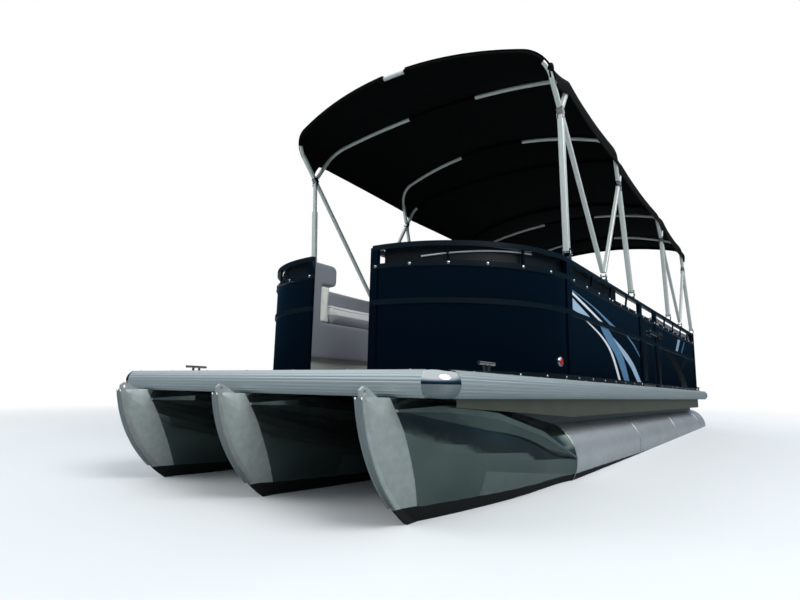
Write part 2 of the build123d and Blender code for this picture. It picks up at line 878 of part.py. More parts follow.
with BuildPart() as stern_backs:
    box_between(
        (bench_aft, stern_bench_starboard, seat_low),
        (bench_aft + back_thick, cushion_out, back_high),
    )
    box_between((bench_aft, seat_out - back_thick, seat_low), (port_bench_front, seat_out, back_high))
    fillet(stern_backs.edges().group_by(Axis.Z)[-1], 30)
save(stern_backs.part, "stern_backs")

# Helm console with a sloping dash
console_aft = console_x - console_length
dash_low = (console_aft, deck_top + console_dash)
dash_high = (console_aft + 0.4 * console_length, deck_top + console_height - 80)
console_top = deck_top + console_height
with BuildPart() as console:
    with BuildSketch(Plane.XZ.offset(-console_inboard)):
        with BuildLine():
            Polyline(
                (console_aft + 70, deck_top),
                (console_x, deck_top),
                (console_x - 35, console_top - 40),
                (console_x - 140, console_top),
                dash_high,
                dash_low,
                (console_aft + 30, deck_top + console_dash - 150),
                close=True,
            )
        make_face()
        fillet(vertices().group_by(Axis.Y)[-1], 30)
    extrude(amount=console_inboard - console_outboard)
save(console.part, "helm_console")

# Windscreen: a raked front with returned sides
screen_front = console_x - 60
with BuildPart() as screen:
    with BuildSketch(Plane.XZ.offset(-console_inboard)):
        with BuildLine():
            Polyline(
                (screen_front, console_top - screen_sink),
                (screen_front + screen_thick, console_top - screen_sink),
                (screen_front + screen_thick - screen_rake, console_top + screen_height),
                (screen_front - screen_rake, console_top + screen_height),
                close=True,
            )
        make_face()
    extrude(amount=console_inboard - console_outboard)
    add(console.part, mode=Mode.SUBTRACT)
save(screen.part, "windscreen")

# Steering wheel on the dash
dash_mid = ((dash_low[0] + dash_high[0]) / 2, (dash_low[1] + dash_high[1]) / 2)
dash_long = hypot(dash_high[0] - dash_low[0], dash_high[1] - dash_low[1])
dash_normal = ((dash_low[1] - dash_high[1]) / dash_long, (dash_high[0] - dash_low[0]) / dash_long)
dash_plane = Plane(
    origin=(dash_mid[0], helm_y, dash_mid[1]),
    x_dir=(0, 1, 0),
    z_dir=(dash_normal[0], 0, dash_normal[1]),
)
wheel_plane = dash_plane.offset(wheel_stand)
with BuildPart(wheel_plane) as steering_wheel:
    Torus(wheel_radius, wheel_rim)
    Cylinder(wheel_hub_radius, 2 * wheel_rim)
    with PolarLocations(wheel_radius / 2, 3, start_angle=90):
        Box(wheel_radius, 26, 8)
    with Locations((0, 0, (wheel_hub_gap - wheel_stand) / 2)):
        Cylinder(18, wheel_stand - wheel_hub_gap)
save(steering_wheel.part, "steering_wheel")

# Helm chair on its pedestal
pedestal_height = chair_seat_height - running_gap
with BuildPart() as pedestal:
    with BuildSketch(Plane.XY.offset(deck_top)):
        with Locations((chair_x, chair_y)):
            Circle(3.4 * pedestal_radius)
    extrude(amount=14, taper=20)
    with BuildSketch(Plane.XY.offset(deck_top)):
        with Locations((chair_x, chair_y)):
            Circle(pedestal_radius)
    extrude(amount=pedestal_height)
save(pedestal.part, "chair_pedestal")

chair_low = deck_top + chair_seat_height
with BuildPart() as chair:
    with BuildSketch(Plane.XY.offset(chair_low)):
        with Locations((chair_x, chair_y)):
            RectangleRounded(chair_depth, chair_width, 60)
    extrude(amount=chair_cushion)
    with BuildSketch(Plane.XZ.offset(-(chair_y + chair_width / 2 - 40))):
        with BuildLine():
            Polyline(
                (chair_x - chair_depth / 2 + 12, chair_low + 40),
                (chair_x - chair_depth / 2 + 12 + chair_back_thick, chair_low + 40),
                (chair_x - chair_depth / 2 + chair_back_thick, chair_low + chair_cushion + chair_back_height),
                (chair_x - chair_depth / 2 + 12, chair_low + chair_cushion + chair_back_height),
                close=True,
            )
        make_face()
    extrude(amount=chair_width - 80)
    for side in (1, -1):
        arm_y = chair_y + side * (chair_width / 2 - 25)
        box_between(
            (chair_x - chair_depth / 2 + 60, arm_y - 25, chair_low + chair_cushion - 30),
            (chair_x + chair_depth / 2 - 90, arm_y + 25, chair_low + chair_cushion + 170),
        )
save(chair.part, "helm_chair")


# Folding tops: each bow is two straight legs, two bends and a crown, all in one leaning plane
bend_angle = degrees(pi / 2 - asin((bow_half_span - bow_bend) / (bow_crown - bow_bend)))
crown_rise = bow_crown - (bow_crown - bow_bend) * sin(radians(bend_angle))


def bow_plane(start, crown):
    # Plane of a bow from its start in the side view to the top of its crown
    lean_x, lean_z = crown[0] - start[0], crown[1] - start[1]
    return Plane(origin=(start[0], 0, start[1]), x_dir=(0, 1, 0), z_dir=(lean_z, 0, -lean_x))


def bow_reach(start, crown):
    # Length of a bow's straight leg, up to where its bend starts
    return hypot(crown[0] - start[0], crown[1] - start[1]) - crown_rise


def crown_path(reach, grow=0):
    # Half bend, crown and half bend of a bow, in its own plane
    half = bow_half_span - bow_bend
    CenterArc((half, reach), bow_bend + grow, 0, bend_angle)
    sink = (bow_crown - bow_bend) * sin(radians(bend_angle))
    CenterArc((0, reach - sink), bow_crown + grow, bend_angle, 180 - 2 * bend_angle)
    CenterArc((-half, reach), bow_bend + grow, 180 - bend_angle, bend_angle)


def lean_point(start, crown, share_length):
    length = hypot(crown[0] - start[0], crown[1] - start[1])
    return (
        start[0] + (crown[0] - start[0]) * share_length / length,
        start[1] + (crown[1] - start[1]) * share_length / length,
    )


# Each top in the side view, measured along X from a place on the fence, with heights above the foot hinge
foot_z = fence_top + foot_height / 2
tops = [
    {
        "name": "front",
        "from": arc_x,
        "foot": (-857, 0),
        "front_crown": (455, 1455),
        "rear_crown": (-1741, 1433),
        "front_knuckle": 1350,
        "rear_knuckle": 1130,
        "front_rib": (-300, 1544),
        "rear_rib": (-1253, 1534),
        "front_pole": -2,
        "rear_pole": -1742,
    },
    {
        "name": "rear",
        "from": fence_aft_x,
        "foot": (1000, 0),
        "front_crown": (2404, 1350),
        "rear_crown": (206, 1318),
        "front_knuckle": 1308,
        "rear_knuckle": 960,
        "front_rib": (1673, 1417),
        "rear_rib": (731, 1365),
        "front_pole": 1780,
        "rear_pole": 80,
    },
]
for top in tops:
    for key in ("foot", "front_crown", "rear_crown", "front_rib", "rear_rib"):
        top[key] = (top["from"] + top[key][0], foot_z + top[key][1])
    for key in ("front_pole", "rear_pole"):
        top[key] = top["from"] + top[key]


def straight_tube(start, end, radius):
    run = Vector(*end) - Vector(*start)
    with BuildSketch(Plane(origin=start, z_dir=run)) as section:
        Circle(radius)
    extrude(section.sketch, amount=run.length)


def square_tube(start, end, half):
    # Square leg or pole with round edges, with two faces square to Y
    run = Vector(*end) - Vector(*start)
    with BuildSketch(Plane(origin=start, x_dir=(0, 1, 0), z_dir=run)) as section:
        RectangleRounded(2 * half, 2 * half, bow_edge_share * half)
    extrude(section.sketch, amount=run.length)


# Four bows of each top, and the knuckles and feet of its two poles
bow_lines = {}
knuckle_places = {}
for top in tops:
    foot = top["foot"]
    front_knuckle = lean_point(foot, top["front_crown"], top["front_knuckle"])
    rear_knuckle = lean_point(foot, top["rear_crown"], top["rear_knuckle"])
    bow_lines[top["name"]] = [
        (foot, top["front_crown"]),
        (front_knuckle, top["front_rib"]),
        (rear_knuckle, top["rear_rib"]),
        (foot, top["rear_crown"]),
    ]
    knuckle_places[top["name"]] = [(front_knuckle, top["front_pole"]), (rear_knuckle, top["rear_pole"])]

with BuildPart() as fittings:
    for top in tops:
        foot = top["foot"]
        for side in (1, -1):
            low_y = side * bow_half_span - fitting_width / 2
            high_y = side * bow_half_span + fitting_width / 2
            foot_high = fence_top + foot_height
            box_between((foot[0] - foot_half, low_y, fence_top), (foot[0] + foot_half, high_y, foot_high))
            for knuckle, pole_x in knuckle_places[top["name"]]:
                box_between(
                    (knuckle[0] - fitting_half, low_y, knuckle[1] - fitting_half),
                    (knuckle[0] + fitting_half, high_y, knuckle[1] + fitting_half),
                )
                box_between(
                    (pole_x - fitting_half, low_y, fence_top),
                    (pole_x + fitting_half, high_y, fence_top + 0.7 * foot_height),
                )
save(fittings.part, "top_fittings")

with BuildPart() as legs:
    for top in tops:
        for side in (1, -1):
            y = side * bow_half_span
            for start, crown in bow_lines[top["name"]]:
                end = lean_point(start, crown, bow_reach(start, crown))
                square_tube((start[0], y, start[1]), (end[0], y, end[1]), bow_tube)
            for knuckle, pole_x in knuckle_places[top["name"]]:
                high = Vector(knuckle[0], y, knuckle[1])
                low = Vector(pole_x, y, fence_top + 0.35 * foot_height)
                joint = high + (low - high) * (pole_slim_port if side == 1 else pole_slim_starboard)
                square_tube(tuple(high), tuple(joint), pole_slim_half)
                square_tube(tuple(joint), tuple(low), pole_half)
    add(fittings.part, mode=Mode.SUBTRACT)
save(legs.part, "top_legs")

with BuildPart() as crowns:
    for start, crown in bow_lines["front"] + bow_lines["rear"]:
        with BuildLine(bow_plane(start, crown)) as path:
            crown_path(bow_reach(start, crown))
        with BuildSketch(Plane(origin=path.line @ 0, z_dir=path.line % 0)):
            Circle(bow_tube)
        sweep(path=path.line)
save(crowns.part, "top_bows")


# The canvas keeps one gap to every tube: a bow that leans against its panels lifts it more
canvas_bows = bow_lines["front"] + bow_lines["rear"]
panel_normals = []
for (_, ahead), (_, behind) in zip(canvas_bows, canvas_bows[1:]):
    run_x, run_z = ahead[0] - behind[0], ahead[1] - behind[1]
    run = hypot(run_x, run_z)
    panel_normals.append((-run_z / run, run_x / run))
canvas_sections = []
for index, (start, crown) in enumerate(canvas_bows):
    length = hypot(crown[0] - start[0], crown[1] - start[1])
    lean_x, lean_z = (crown[0] - start[0]) / length, (crown[1] - start[1]) / length
    squareness = min(lean_x * x + lean_z * z for x, z in panel_normals[max(0, index - 1) : index + 1])
    reach = bow_reach(start, crown)
    inner = (bow_tube + canvas_gap) / squareness
    outer = inner + canvas_thick
    half_in = bow_half_span + inner
    half_out = bow_half_span + outer
    with BuildSketch(bow_plane(start, crown)) as section:
        with BuildLine():
            crown_path(reach, outer)
            crown_path(reach, inner)
            for side in (1, -1):
                Polyline(
                    (side * half_out, reach),
                    (side * half_out, reach - canvas_hem),
                    (side * half_in, reach - canvas_hem),
                    (side * half_in, reach),
                )
        make_face()
    canvas_sections.append(section.sketch)

# Each sheet spans the bows from its first to its last
canvases = [("canopy_front", 0, 3), ("canopy_bridge", 3, 4), ("canopy_rear", 4, 7)]
for name, first, last in canvases:
    with BuildPart() as canvas:
        loft(canvas_sections[first : last + 1], ruled=True)
    save(canvas.part, name)

# Outboard motor, drawn with its leg down and then tilted about the pivot
transom_x = centre_aft_x - transom_thick
pivot_x = transom_x - pivot_back
pivot_z = transom_height + pivot_rise
steer_x = pivot_x - swivel_back
pivot_axis = Axis((pivot_x, 0, pivot_z), (0, 1, 0))


def tilted(piece):
    return piece.rotate(pivot_axis, tilt_rest)


# Clamp bracket: two cheeks hooked over the transom, with the tilt tube through them
with BuildPart() as bracket:
    for side in (1, -1):
        y = side * bracket_half
        with BuildSketch(Plane.XZ.offset(-y)) as cheek:
            with BuildLine():
                Polyline(
                    (transom_x - 0.3, transom_height - 240),
                    (transom_x - 0.3, transom_height + 4),
                    (transom_x + transom_thick, transom_height + 4),
                    (transom_x + transom_thick, transom_height + 26),
                    (transom_x - 20, transom_height + 55),
                    (pivot_x - 26, pivot_z + 22),
                    (pivot_x - 26, pivot_z - 22),
                    (transom_x - 30, transom_height - 240),
                    close=True,
                )
            make_face()
        extrude(amount=-side * bracket_plate)
    with Locations(Plane(origin=(pivot_x, 0, pivot_z), z_dir=(0, 1, 0))):
        Cylinder(tilt_tube_radius, 2 * bracket_half)
save(bracket.part, "motor_clamp")

# Swivel bracket: a barrel for the kingpin and a lug round the tilt tube
barrel_low = pivot_z - 250
barrel_high = pivot_z + 40
lug_half = bracket_half - bracket_plate - 1
with BuildPart() as swivel:
    with BuildSketch(Plane.XY.offset(barrel_low)):
        with Locations((steer_x, 0)):
            Circle(swivel_radius)
        with Locations(((steer_x + pivot_x) / 2, 0)):
            Rectangle(pivot_x - steer_x, 50)
    extrude(amount=barrel_high - barrel_low)
    with Locations(Plane(origin=(pivot_x, 0, pivot_z), z_dir=(0, 1, 0))):
        Cylinder(34, 2 * lug_half)
        Cylinder(tilt_tube_radius + pin_clearance, 2 * lug_half, mode=Mode.SUBTRACT)
    with Locations((steer_x, 0, (barrel_low + barrel_high) / 2)):
        Cylinder(kingpin_radius + pin_clearance, barrel_high - barrel_low, mode=Mode.SUBTRACT)
save(tilted(swivel.part), "swivel_bracket")

# Leg, gearcase, plate and skeg in one casting, with the kingpin and its two arms
leg_x = steer_x - 175
cowl_low = pivot_z + cowl_rise
leg_sections = [
    (cowl_low, 225, 170, 60),
    (pivot_z - 330, 205, 96, 40),
    (pivot_z - leg_drop, 235, 62, 28),
    (pivot_z - shaft_drop, 225, 40, 18),
]
gear_x = leg_x - 20
shaft_z = pivot_z - shaft_drop
with BuildPart() as leg:
    for z, long, wide, corner in leg_sections:
        with BuildSketch(Plane.XY.offset(z)):
            with Locations((leg_x, 0)):
                RectangleRounded(long, wide, corner)
    loft(ruled=True)
    with BuildSketch(Plane.XZ):
        with BuildLine():
            nose = gear_x + gearcase_length / 2
            tail = gear_x - gearcase_length / 2
            Polyline(
                (tail, shaft_z),
                (tail, shaft_z + 0.8 * gearcase_radius),
                (gear_x, shaft_z + gearcase_radius),
                (gear_x + 0.25 * gearcase_length, shaft_z + 0.85 * gearcase_radius),
                (gear_x + 0.4 * gearcase_length, shaft_z + 0.55 * gearcase_radius),
                (nose, shaft_z + 0.2 * gearcase_radius),
                (nose, shaft_z),
                close=True,
            )
        make_face()
    revolve(axis=Axis((gear_x, 0, shaft_z), (1, 0, 0)))
    with Locations((leg_x - 40, 0, pivot_z - leg_drop)):
        Box(390, 190, 8)
    with BuildSketch(Plane.XZ):
        with BuildLine():
            Polyline(
                (gear_x + 100, shaft_z - 20),
                (gear_x + 20, pivot_z - skeg_drop + 20),
                (gear_x - 40, pivot_z - skeg_drop),
                (gear_x - 120, pivot_z - skeg_drop),
                (gear_x - 110, shaft_z - 20),
                close=True,
            )
        make_face()
    extrude(amount=5, both=True)
    arm_levels = [(barrel_high + running_gap, barrel_high + 70), (barrel_low - 60, barrel_low - running_gap)]
    for low, high in arm_levels:
        box_between((leg_x, -34, low), (steer_x + 30, 34, high))
    with Locations((steer_x, 0, (barrel_low + barrel_high) / 2)):
        Cylinder(kingpin_radius, barrel_high - barrel_low + 20)
    with Locations(Plane(origin=(tail - prop_hub_length / 2, 0, shaft_z), z_dir=(1, 0, 0))):
        Cylinder(prop_shaft_radius, prop_hub_length + 20)
save(tilted(leg.part), "motor_leg")

# Cowl: a lower pan and a rounded hood over the powerhead
cowl_x = steer_x - 130
cowl_sections = [
    (cowl_low + running_gap, 400, 290, 90),
    (cowl_low + 110, 470, 350, 120),
    (cowl_low + 300, 470, 356, 130),
    (cowl_low + 410, 400, 300, 130),
    (cowl_low + 440, 300, 210, 100),
]
with BuildPart() as cowl:
    for z, long, wide, corner in cowl_sections:
        with BuildSketch(Plane.XY.offset(z)):
            with Locations((cowl_x, 0)):
                RectangleRounded(long, wide, corner)
    loft(ruled=True)
save(tilted(cowl.part), "motor_cowl")

# Propeller: a hub with swept, pitched blades
prop_x = tail - 0.5 - prop_hub_length / 2
blade_root = 0.8 * prop_hub_radius
blade_sections = [(blade_root, 88, 52), (0.6 * prop_radius, 120, 36), (prop_radius, 46, 26)]
with BuildPart() as propeller:
    with Locations(Plane(origin=(prop_x, 0, shaft_z), z_dir=(1, 0, 0))):
        Cylinder(prop_hub_radius, prop_hub_length)
    for index in range(blade_count):
        turn = 360 * index / blade_count
        for radius, chord, pitch in blade_sections:
            outward = Vector(0, sin(radians(turn)), cos(radians(turn)))
            across = Vector(0, cos(radians(turn)), -sin(radians(turn)))
            chord_line = Vector(cos(radians(pitch)), 0, 0) + across * sin(radians(pitch))
            origin = Vector(prop_x, 0, shaft_z) + outward * radius
            with BuildSketch(Plane(origin=origin, x_dir=chord_line, z_dir=outward)):
                Rectangle(chord, blade_thick)
        loft(ruled=True)
    with Locations(Plane(origin=(prop_x, 0, shaft_z), z_dir=(1, 0, 0))):
        Cylinder(prop_shaft_radius + pin_clearance, prop_hub_length + 1, mode=Mode.SUBTRACT)
save(tilted(propeller.part), "propeller")

# Boarding ladder, folded forward on the aft deck
ladder_axis_x = aft_x - 4 - ladder_stand
ladder_z = deck_top + ladder_rise
ladder_tip = ladder_axis_x + ladder_length
with BuildPart() as ladder:
    for side in (1, -1):
        y = ladder_y + side * ladder_width / 2
        straight_tube((ladder_axis_x - 10, y, ladder_z), (ladder_tip, y, ladder_z), ladder_tube)
        with Locations(Plane(origin=(ladder_axis_x, y, ladder_z), z_dir=(0, 1, 0))):
            Cylinder(5 + pin_clearance, 3 * ladder_tube, mode=Mode.SUBTRACT)
    for index in range(rung_count):
        x = ladder_axis_x + 90 + index * (ladder_length - 110) / (rung_count - 1)
        box_between(
            (x - 25, ladder_y - ladder_width / 2, ladder_z - 10),
            (x + 25, ladder_y + ladder_width / 2, ladder_z + 10),
        )
save(ladder.part, "boarding_ladder")

with BuildPart() as fixed_hinges:
    add(hinge_posts.part)
    for side in (1, -1):
        y = ladder_y + side * (ladder_width / 2 + ladder_tube + 0.4 + 3)
        box_between((ladder_axis_x - 12, y - 3, ladder_z - 32), (aft_x - 4, y + 3, ladder_z + 12))
        pin_y = ladder_y + side * (ladder_width / 2 + 2)
        with Locations(Plane(origin=(ladder_axis_x, pin_y, ladder_z), z_dir=(0, 1, 0))):
            Cylinder(5, 2 * ladder_tube + 8)
save(fixed_hinges.part, "fixed_hinges")

# Cleats at the four corners of the deck
cleat_y = side_y - cleat_side_inset
cleat_ends = (front_x - cleat_front_inset, aft_x + cleat_aft_inset)
cleat_places = [(x, y) for x in cleat_ends for y in (cleat_y, -cleat_y)]
with BuildPart() as cleats:
    for x, y in cleat_places:
        box_between((x - 42, y - 17, deck_top), (x + 42, y + 17, deck_top + 7))
        for shift in (-24, 24):
            with Locations((x + shift, y, deck_top + cleat_height / 2)):
                Cylinder(8, cleat_height)
        bar_z = deck_top + cleat_height
        straight_tube((x - cleat_length / 2, y, bar_z), (x + cleat_length / 2, y, bar_z), 9)
save(cleats.part, "cleats")

# Side lamps on the bow corners and a mast lamp at the stern
with BuildPart() as lamps:
    for side in (1, -1):
        outward = Vector(cos(radians(lamp_angle)), side * sin(radians(lamp_angle)), 0)
        origin = Vector(arc_x, side * arc_y, deck_top + lamp_height) + outward * (skin_outer + 0.3)
        with BuildSketch(Plane(origin=origin, z_dir=outward)):
            Circle(lamp_radius)
        extrude(amount=lamp_depth)
    mast_x = stern_in - fence_depth / 2
    straight_tube((mast_x, 0, fence_top), (mast_x, 0, fence_top + mast_height), mast_radius)
    with Locations((mast_x, 0, fence_top + mast_height + globe_height / 2)):
        Cylinder(globe_radius, globe_height)
save(lamps.part, "lamps")
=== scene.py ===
import itertools
import math

import bmesh
import bpy
import numpy as np
from mathutils import Matrix, Vector


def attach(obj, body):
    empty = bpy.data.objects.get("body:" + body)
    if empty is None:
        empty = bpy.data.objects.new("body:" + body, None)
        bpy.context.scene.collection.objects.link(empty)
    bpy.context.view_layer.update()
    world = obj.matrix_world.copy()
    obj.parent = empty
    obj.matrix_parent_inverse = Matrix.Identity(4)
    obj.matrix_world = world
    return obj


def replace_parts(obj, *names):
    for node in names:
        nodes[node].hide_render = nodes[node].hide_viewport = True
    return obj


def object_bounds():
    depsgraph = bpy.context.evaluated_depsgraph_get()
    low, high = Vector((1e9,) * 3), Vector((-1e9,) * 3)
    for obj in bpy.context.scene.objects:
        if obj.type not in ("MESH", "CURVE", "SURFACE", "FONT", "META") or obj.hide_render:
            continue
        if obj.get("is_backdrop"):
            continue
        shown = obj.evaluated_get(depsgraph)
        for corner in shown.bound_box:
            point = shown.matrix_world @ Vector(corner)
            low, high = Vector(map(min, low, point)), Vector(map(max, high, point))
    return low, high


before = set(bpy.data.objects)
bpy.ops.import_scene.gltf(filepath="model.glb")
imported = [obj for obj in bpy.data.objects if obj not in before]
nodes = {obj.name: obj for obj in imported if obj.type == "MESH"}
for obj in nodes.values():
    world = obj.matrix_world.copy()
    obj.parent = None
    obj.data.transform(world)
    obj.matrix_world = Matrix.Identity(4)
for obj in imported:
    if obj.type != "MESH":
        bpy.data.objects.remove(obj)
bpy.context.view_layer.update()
print("stage: frame loaded")

# Places in metres, as in the CAD source
deckTop = 0.780
sillTop = 0.815
midTop = 1.238
secondTop = 1.463
fenceTop = 1.584
railTube = 0.032
fenceY = 1.192
fenceAft = -3.2
bowCentre = arcX, arcY = 2.087, 0.262
bowRadius = 0.930
skinOut = 1.183  # outer face of the panels, the side gate's too
skinRadius = 0.921
tubePlaces = (0.935, 0, -0.935)
upwards = Vector((0, 0, 1))


# Colours and shader nodes
def rgb(code):
    # sRGB hex to the linear colour that a shader takes
    parts = [int(code[i:i + 2], 16) / 255 for i in (1, 3, 5)]
    return [p / 12.92 if p <= 0.04045 else ((p + 0.055) / 1.055) ** 2.4 for p in parts] + [1.0]


def addNode(tree, kind, settings=None, **inputs):
    # One shader node: settings are its own properties, inputs are values or sockets
    made = tree.nodes.new("ShaderNode" + kind)
    for key, value in (settings or {}).items():
        setattr(made, key, value)
    for key, value in inputs.items():
        numbered = key[0] == "i" and key[1:].isdigit()
        socket = made.inputs[int(key[1:]) if numbered else key.replace("_", " ")]
        if isinstance(value, bpy.types.NodeSocket):
            tree.links.new(value, socket)
        else:
            socket.default_value = value
    return made


def newMaterial(name, colour, roughness, metallic=0.0, **extra):
    made = bpy.data.materials.new(name)
    made.use_nodes = True
    shader = made.node_tree.nodes["Principled BSDF"]
    shader.inputs["Base Color"].default_value = rgb(colour)
    shader.inputs["Roughness"].default_value = roughness
    shader.inputs["Metallic"].default_value = metallic
    for key, value in extra.items():
        shader.inputs[key.replace("_", " ")].default_value = value
    return made


def parts(material):
    tree = material.node_tree
    return tree, tree.nodes["Principled BSDF"], addNode(tree, "TexCoord").outputs["Object"]


def math2(tree, operation, a, b=0.0):
    return addNode(tree, "Math", {"operation": operation}, i0=a, i1=b).outputs[0]


def times(tree, a, b):
    return math2(tree, "MULTIPLY", a, b)


def slanted(tree, value, slope, start):
    return addNode(tree, "Math", {"operation": "MULTIPLY_ADD"}, i0=value, i1=slope, i2=start).outputs[0]


def mixColour(tree, factor, a, b):
    return addNode(tree, "Mix", {"data_type": "RGBA"}, i0=factor, i6=a, i7=b).outputs[2]


def stretched(tree, coords, scale):
    return addNode(tree, "Mapping", None, Vector=coords, Scale=scale).outputs[0]


def blotches(tree, coords, millimetres, detail=3.0):
    noise = addNode(tree, "TexNoise", None, Vector=coords, Scale=1000 / millimetres, Detail=detail)
    return noise.outputs["Fac"]


def roughen(tree, shader, height, distance, strength):
    bump = addNode(tree, "Bump", None, Strength=strength, Distance=distance, Height=height)
    tree.links.new(bump.outputs["Normal"], shader.inputs["Normal"])


def ramp(tree, value, low, high, outLow=0.0, outHigh=1.0):
    made = addNode(tree, "MapRange", {"clamp": True}, i0=value, i1=low, i2=high, i3=outLow, i4=outHigh)
    return made.outputs[0]


def edgeAt(tree, value, place, blur, above=True):
    # One side of a place is 1, the other is 0
    outLow, outHigh = (0.0, 1.0) if above else (1.0, 0.0)
    return ramp(tree, value, place - blur, place + blur, outLow, outHigh)


# Materials
hullFinish = dict(
    noseStart=1.998,
    plateSlope=-0.5, plateStart=-3.4215,  # the stem plate lies ahead of x = 0.5 z + 3.4215
    patchSlope=0.112, patchStart=-0.036, patchEnd=3.11,  # unbuffed bottom plate, low on the nose and aft
    paintTop=0.198, blur=0.003,
)


def pontoonMetal():
    # Rolled marine aluminium sheet: brushed tubes, buffed noses, dull stem plates, black bottom paint; the
    # noses' dark green-grey tone is a painted reflection of dark water
    made = newMaterial("aluminium_sheet_rolled", "#a9b0b2", 0.3, 1.0)
    tree, shader, coords = parts(made)
    x, y, z = addNode(tree, "SeparateXYZ", None, Vector=coords).outputs
    cloud = blotches(tree, coords, 260)
    fine = blotches(tree, stretched(tree, coords, (0.05, 1, 1)), 4)
    spots = blotches(tree, coords, 34, 6.0)
    streak = ramp(tree, spots, 0.52, 0.7)
    # Zones: nose, stem plate, low patch and bottom paint
    size, blur = hullFinish, hullFinish["blur"]
    nose = edgeAt(tree, x, size["noseStart"], 0.002)
    ahead = math2(tree, "ADD", x, slanted(tree, z, size["plateSlope"], size["plateStart"]))
    plate = edgeAt(tree, ahead, 0, blur)
    below = math2(tree, "SUBTRACT", slanted(tree, x, size["patchSlope"], size["patchStart"]), z)
    patch = times(tree, edgeAt(tree, below, 0, blur), edgeAt(tree, x, size["patchEnd"], blur, above=False))
    waved = math2(tree, "ADD", z, times(tree, blotches(tree, coords, 90), 0.012))
    paint = edgeAt(tree, waved, size["paintTop"], 0.001, above=False)
    # Colour
    tubeTone = mixColour(tree, cloud, rgb("#bcc3c6"), rgb("#dde2e4"))
    tubeTone = mixColour(tree, times(tree, streak, 0.3), tubeTone, rgb("#eceeee"))
    # Painted reflection: the buffed noses get a dark, green base colour that stands for the water they
    # mirror
    noseReflectionTone = mixColour(tree, cloud, rgb("#74827e"), rgb("#9caaa5"))
    plateTone = mixColour(tree, spots, rgb("#a4aeab"), rgb("#d0d8d5"))
    noseReflectionTone = mixColour(tree, times(tree, patch, 0.6), noseReflectionTone, plateTone)
    tone = mixColour(tree, plate, mixColour(tree, nose, tubeTone, noseReflectionTone), plateTone)
    tree.links.new(mixColour(tree, paint, tone, rgb("#0b0c0d")), shader.inputs["Base Color"])
    # Roughness
    rough = ramp(tree, nose, 0, 1, 0.3, 0.07)
    for part, share in ((fine, 0.1), (plate, 0.28), (streak, 0.08)):
        rough = math2(tree, "ADD", rough, times(tree, part, share))
    tree.links.new(math2(tree, "MAXIMUM", rough, times(tree, paint, 0.7)), shader.inputs["Roughness"])
    # Bare metal everywhere but on the paint, oxidised on the plates
    bright = math2(tree, "SUBTRACT", ramp(tree, nose, 0, 1, 0.62, 0.94), times(tree, plate, 0.34))
    bare = math2(tree, "SUBTRACT", 1.0, paint)
    tree.links.new(times(tree, bare, bright), shader.inputs["Metallic"])
    roughen(tree, shader, cloud, 0.006, 0.3)
    return made


def brushedMetal(name, low, high, roughness, grain, stretch, metallic=1.0):
    made = newMaterial(name, high, roughness, metallic)
    tree, shader, coords = parts(made)
    lines = blotches(tree, stretched(tree, coords, stretch), grain)
    tree.links.new(mixColour(tree, lines, rgb(low), rgb(high)), shader.inputs["Base Color"])
    tree.links.new(ramp(tree, lines, 0, 1, roughness - 0.05, roughness + 0.08), shader.inputs["Roughness"])
    return made


def zoned(name, bands, other, roughness, specular=0.5):
    # Paint whose colour changes with height: bands are (low, high, colour, roughness)
    made = newMaterial(name, other, roughness, Specular_IOR_Level=specular)
    tree, shader, coords = parts(made)
    z = addNode(tree, "SeparateXYZ", None, Vector=coords).outputs[2]
    tone, rough = rgb(other), roughness
    for low, high, colour, value in bands:
        inside = times(tree, ramp(tree, z, low - 2e-4, low), ramp(tree, z, high, high + 2e-4, 1, 0))
        tone = mixColour(tree, inside, tone, rgb(colour))
        rough = addNode(tree, "Mix", {"data_type": "FLOAT"}, i0=inside, i2=rough, i3=value).outputs[0]
    tree.links.new(tone, shader.inputs["Base Color"])
    tree.links.new(rough, shader.inputs["Roughness"])
    return made


def grained(name, low, high, roughness, millimetres, depth, specular=0.5):
    # Moulded or coated sheet with a fine grain
    made = newMaterial(name, high, roughness, Specular_IOR_Level=specular)
    tree, shader, coords = parts(made)
    cloud = blotches(tree, coords, 140)
    tree.links.new(mixColour(tree, cloud, rgb(low), rgb(high)), shader.inputs["Base Color"])
    roughen(tree, shader, blotches(tree, coords, millimetres), depth, 0.5)
    return made


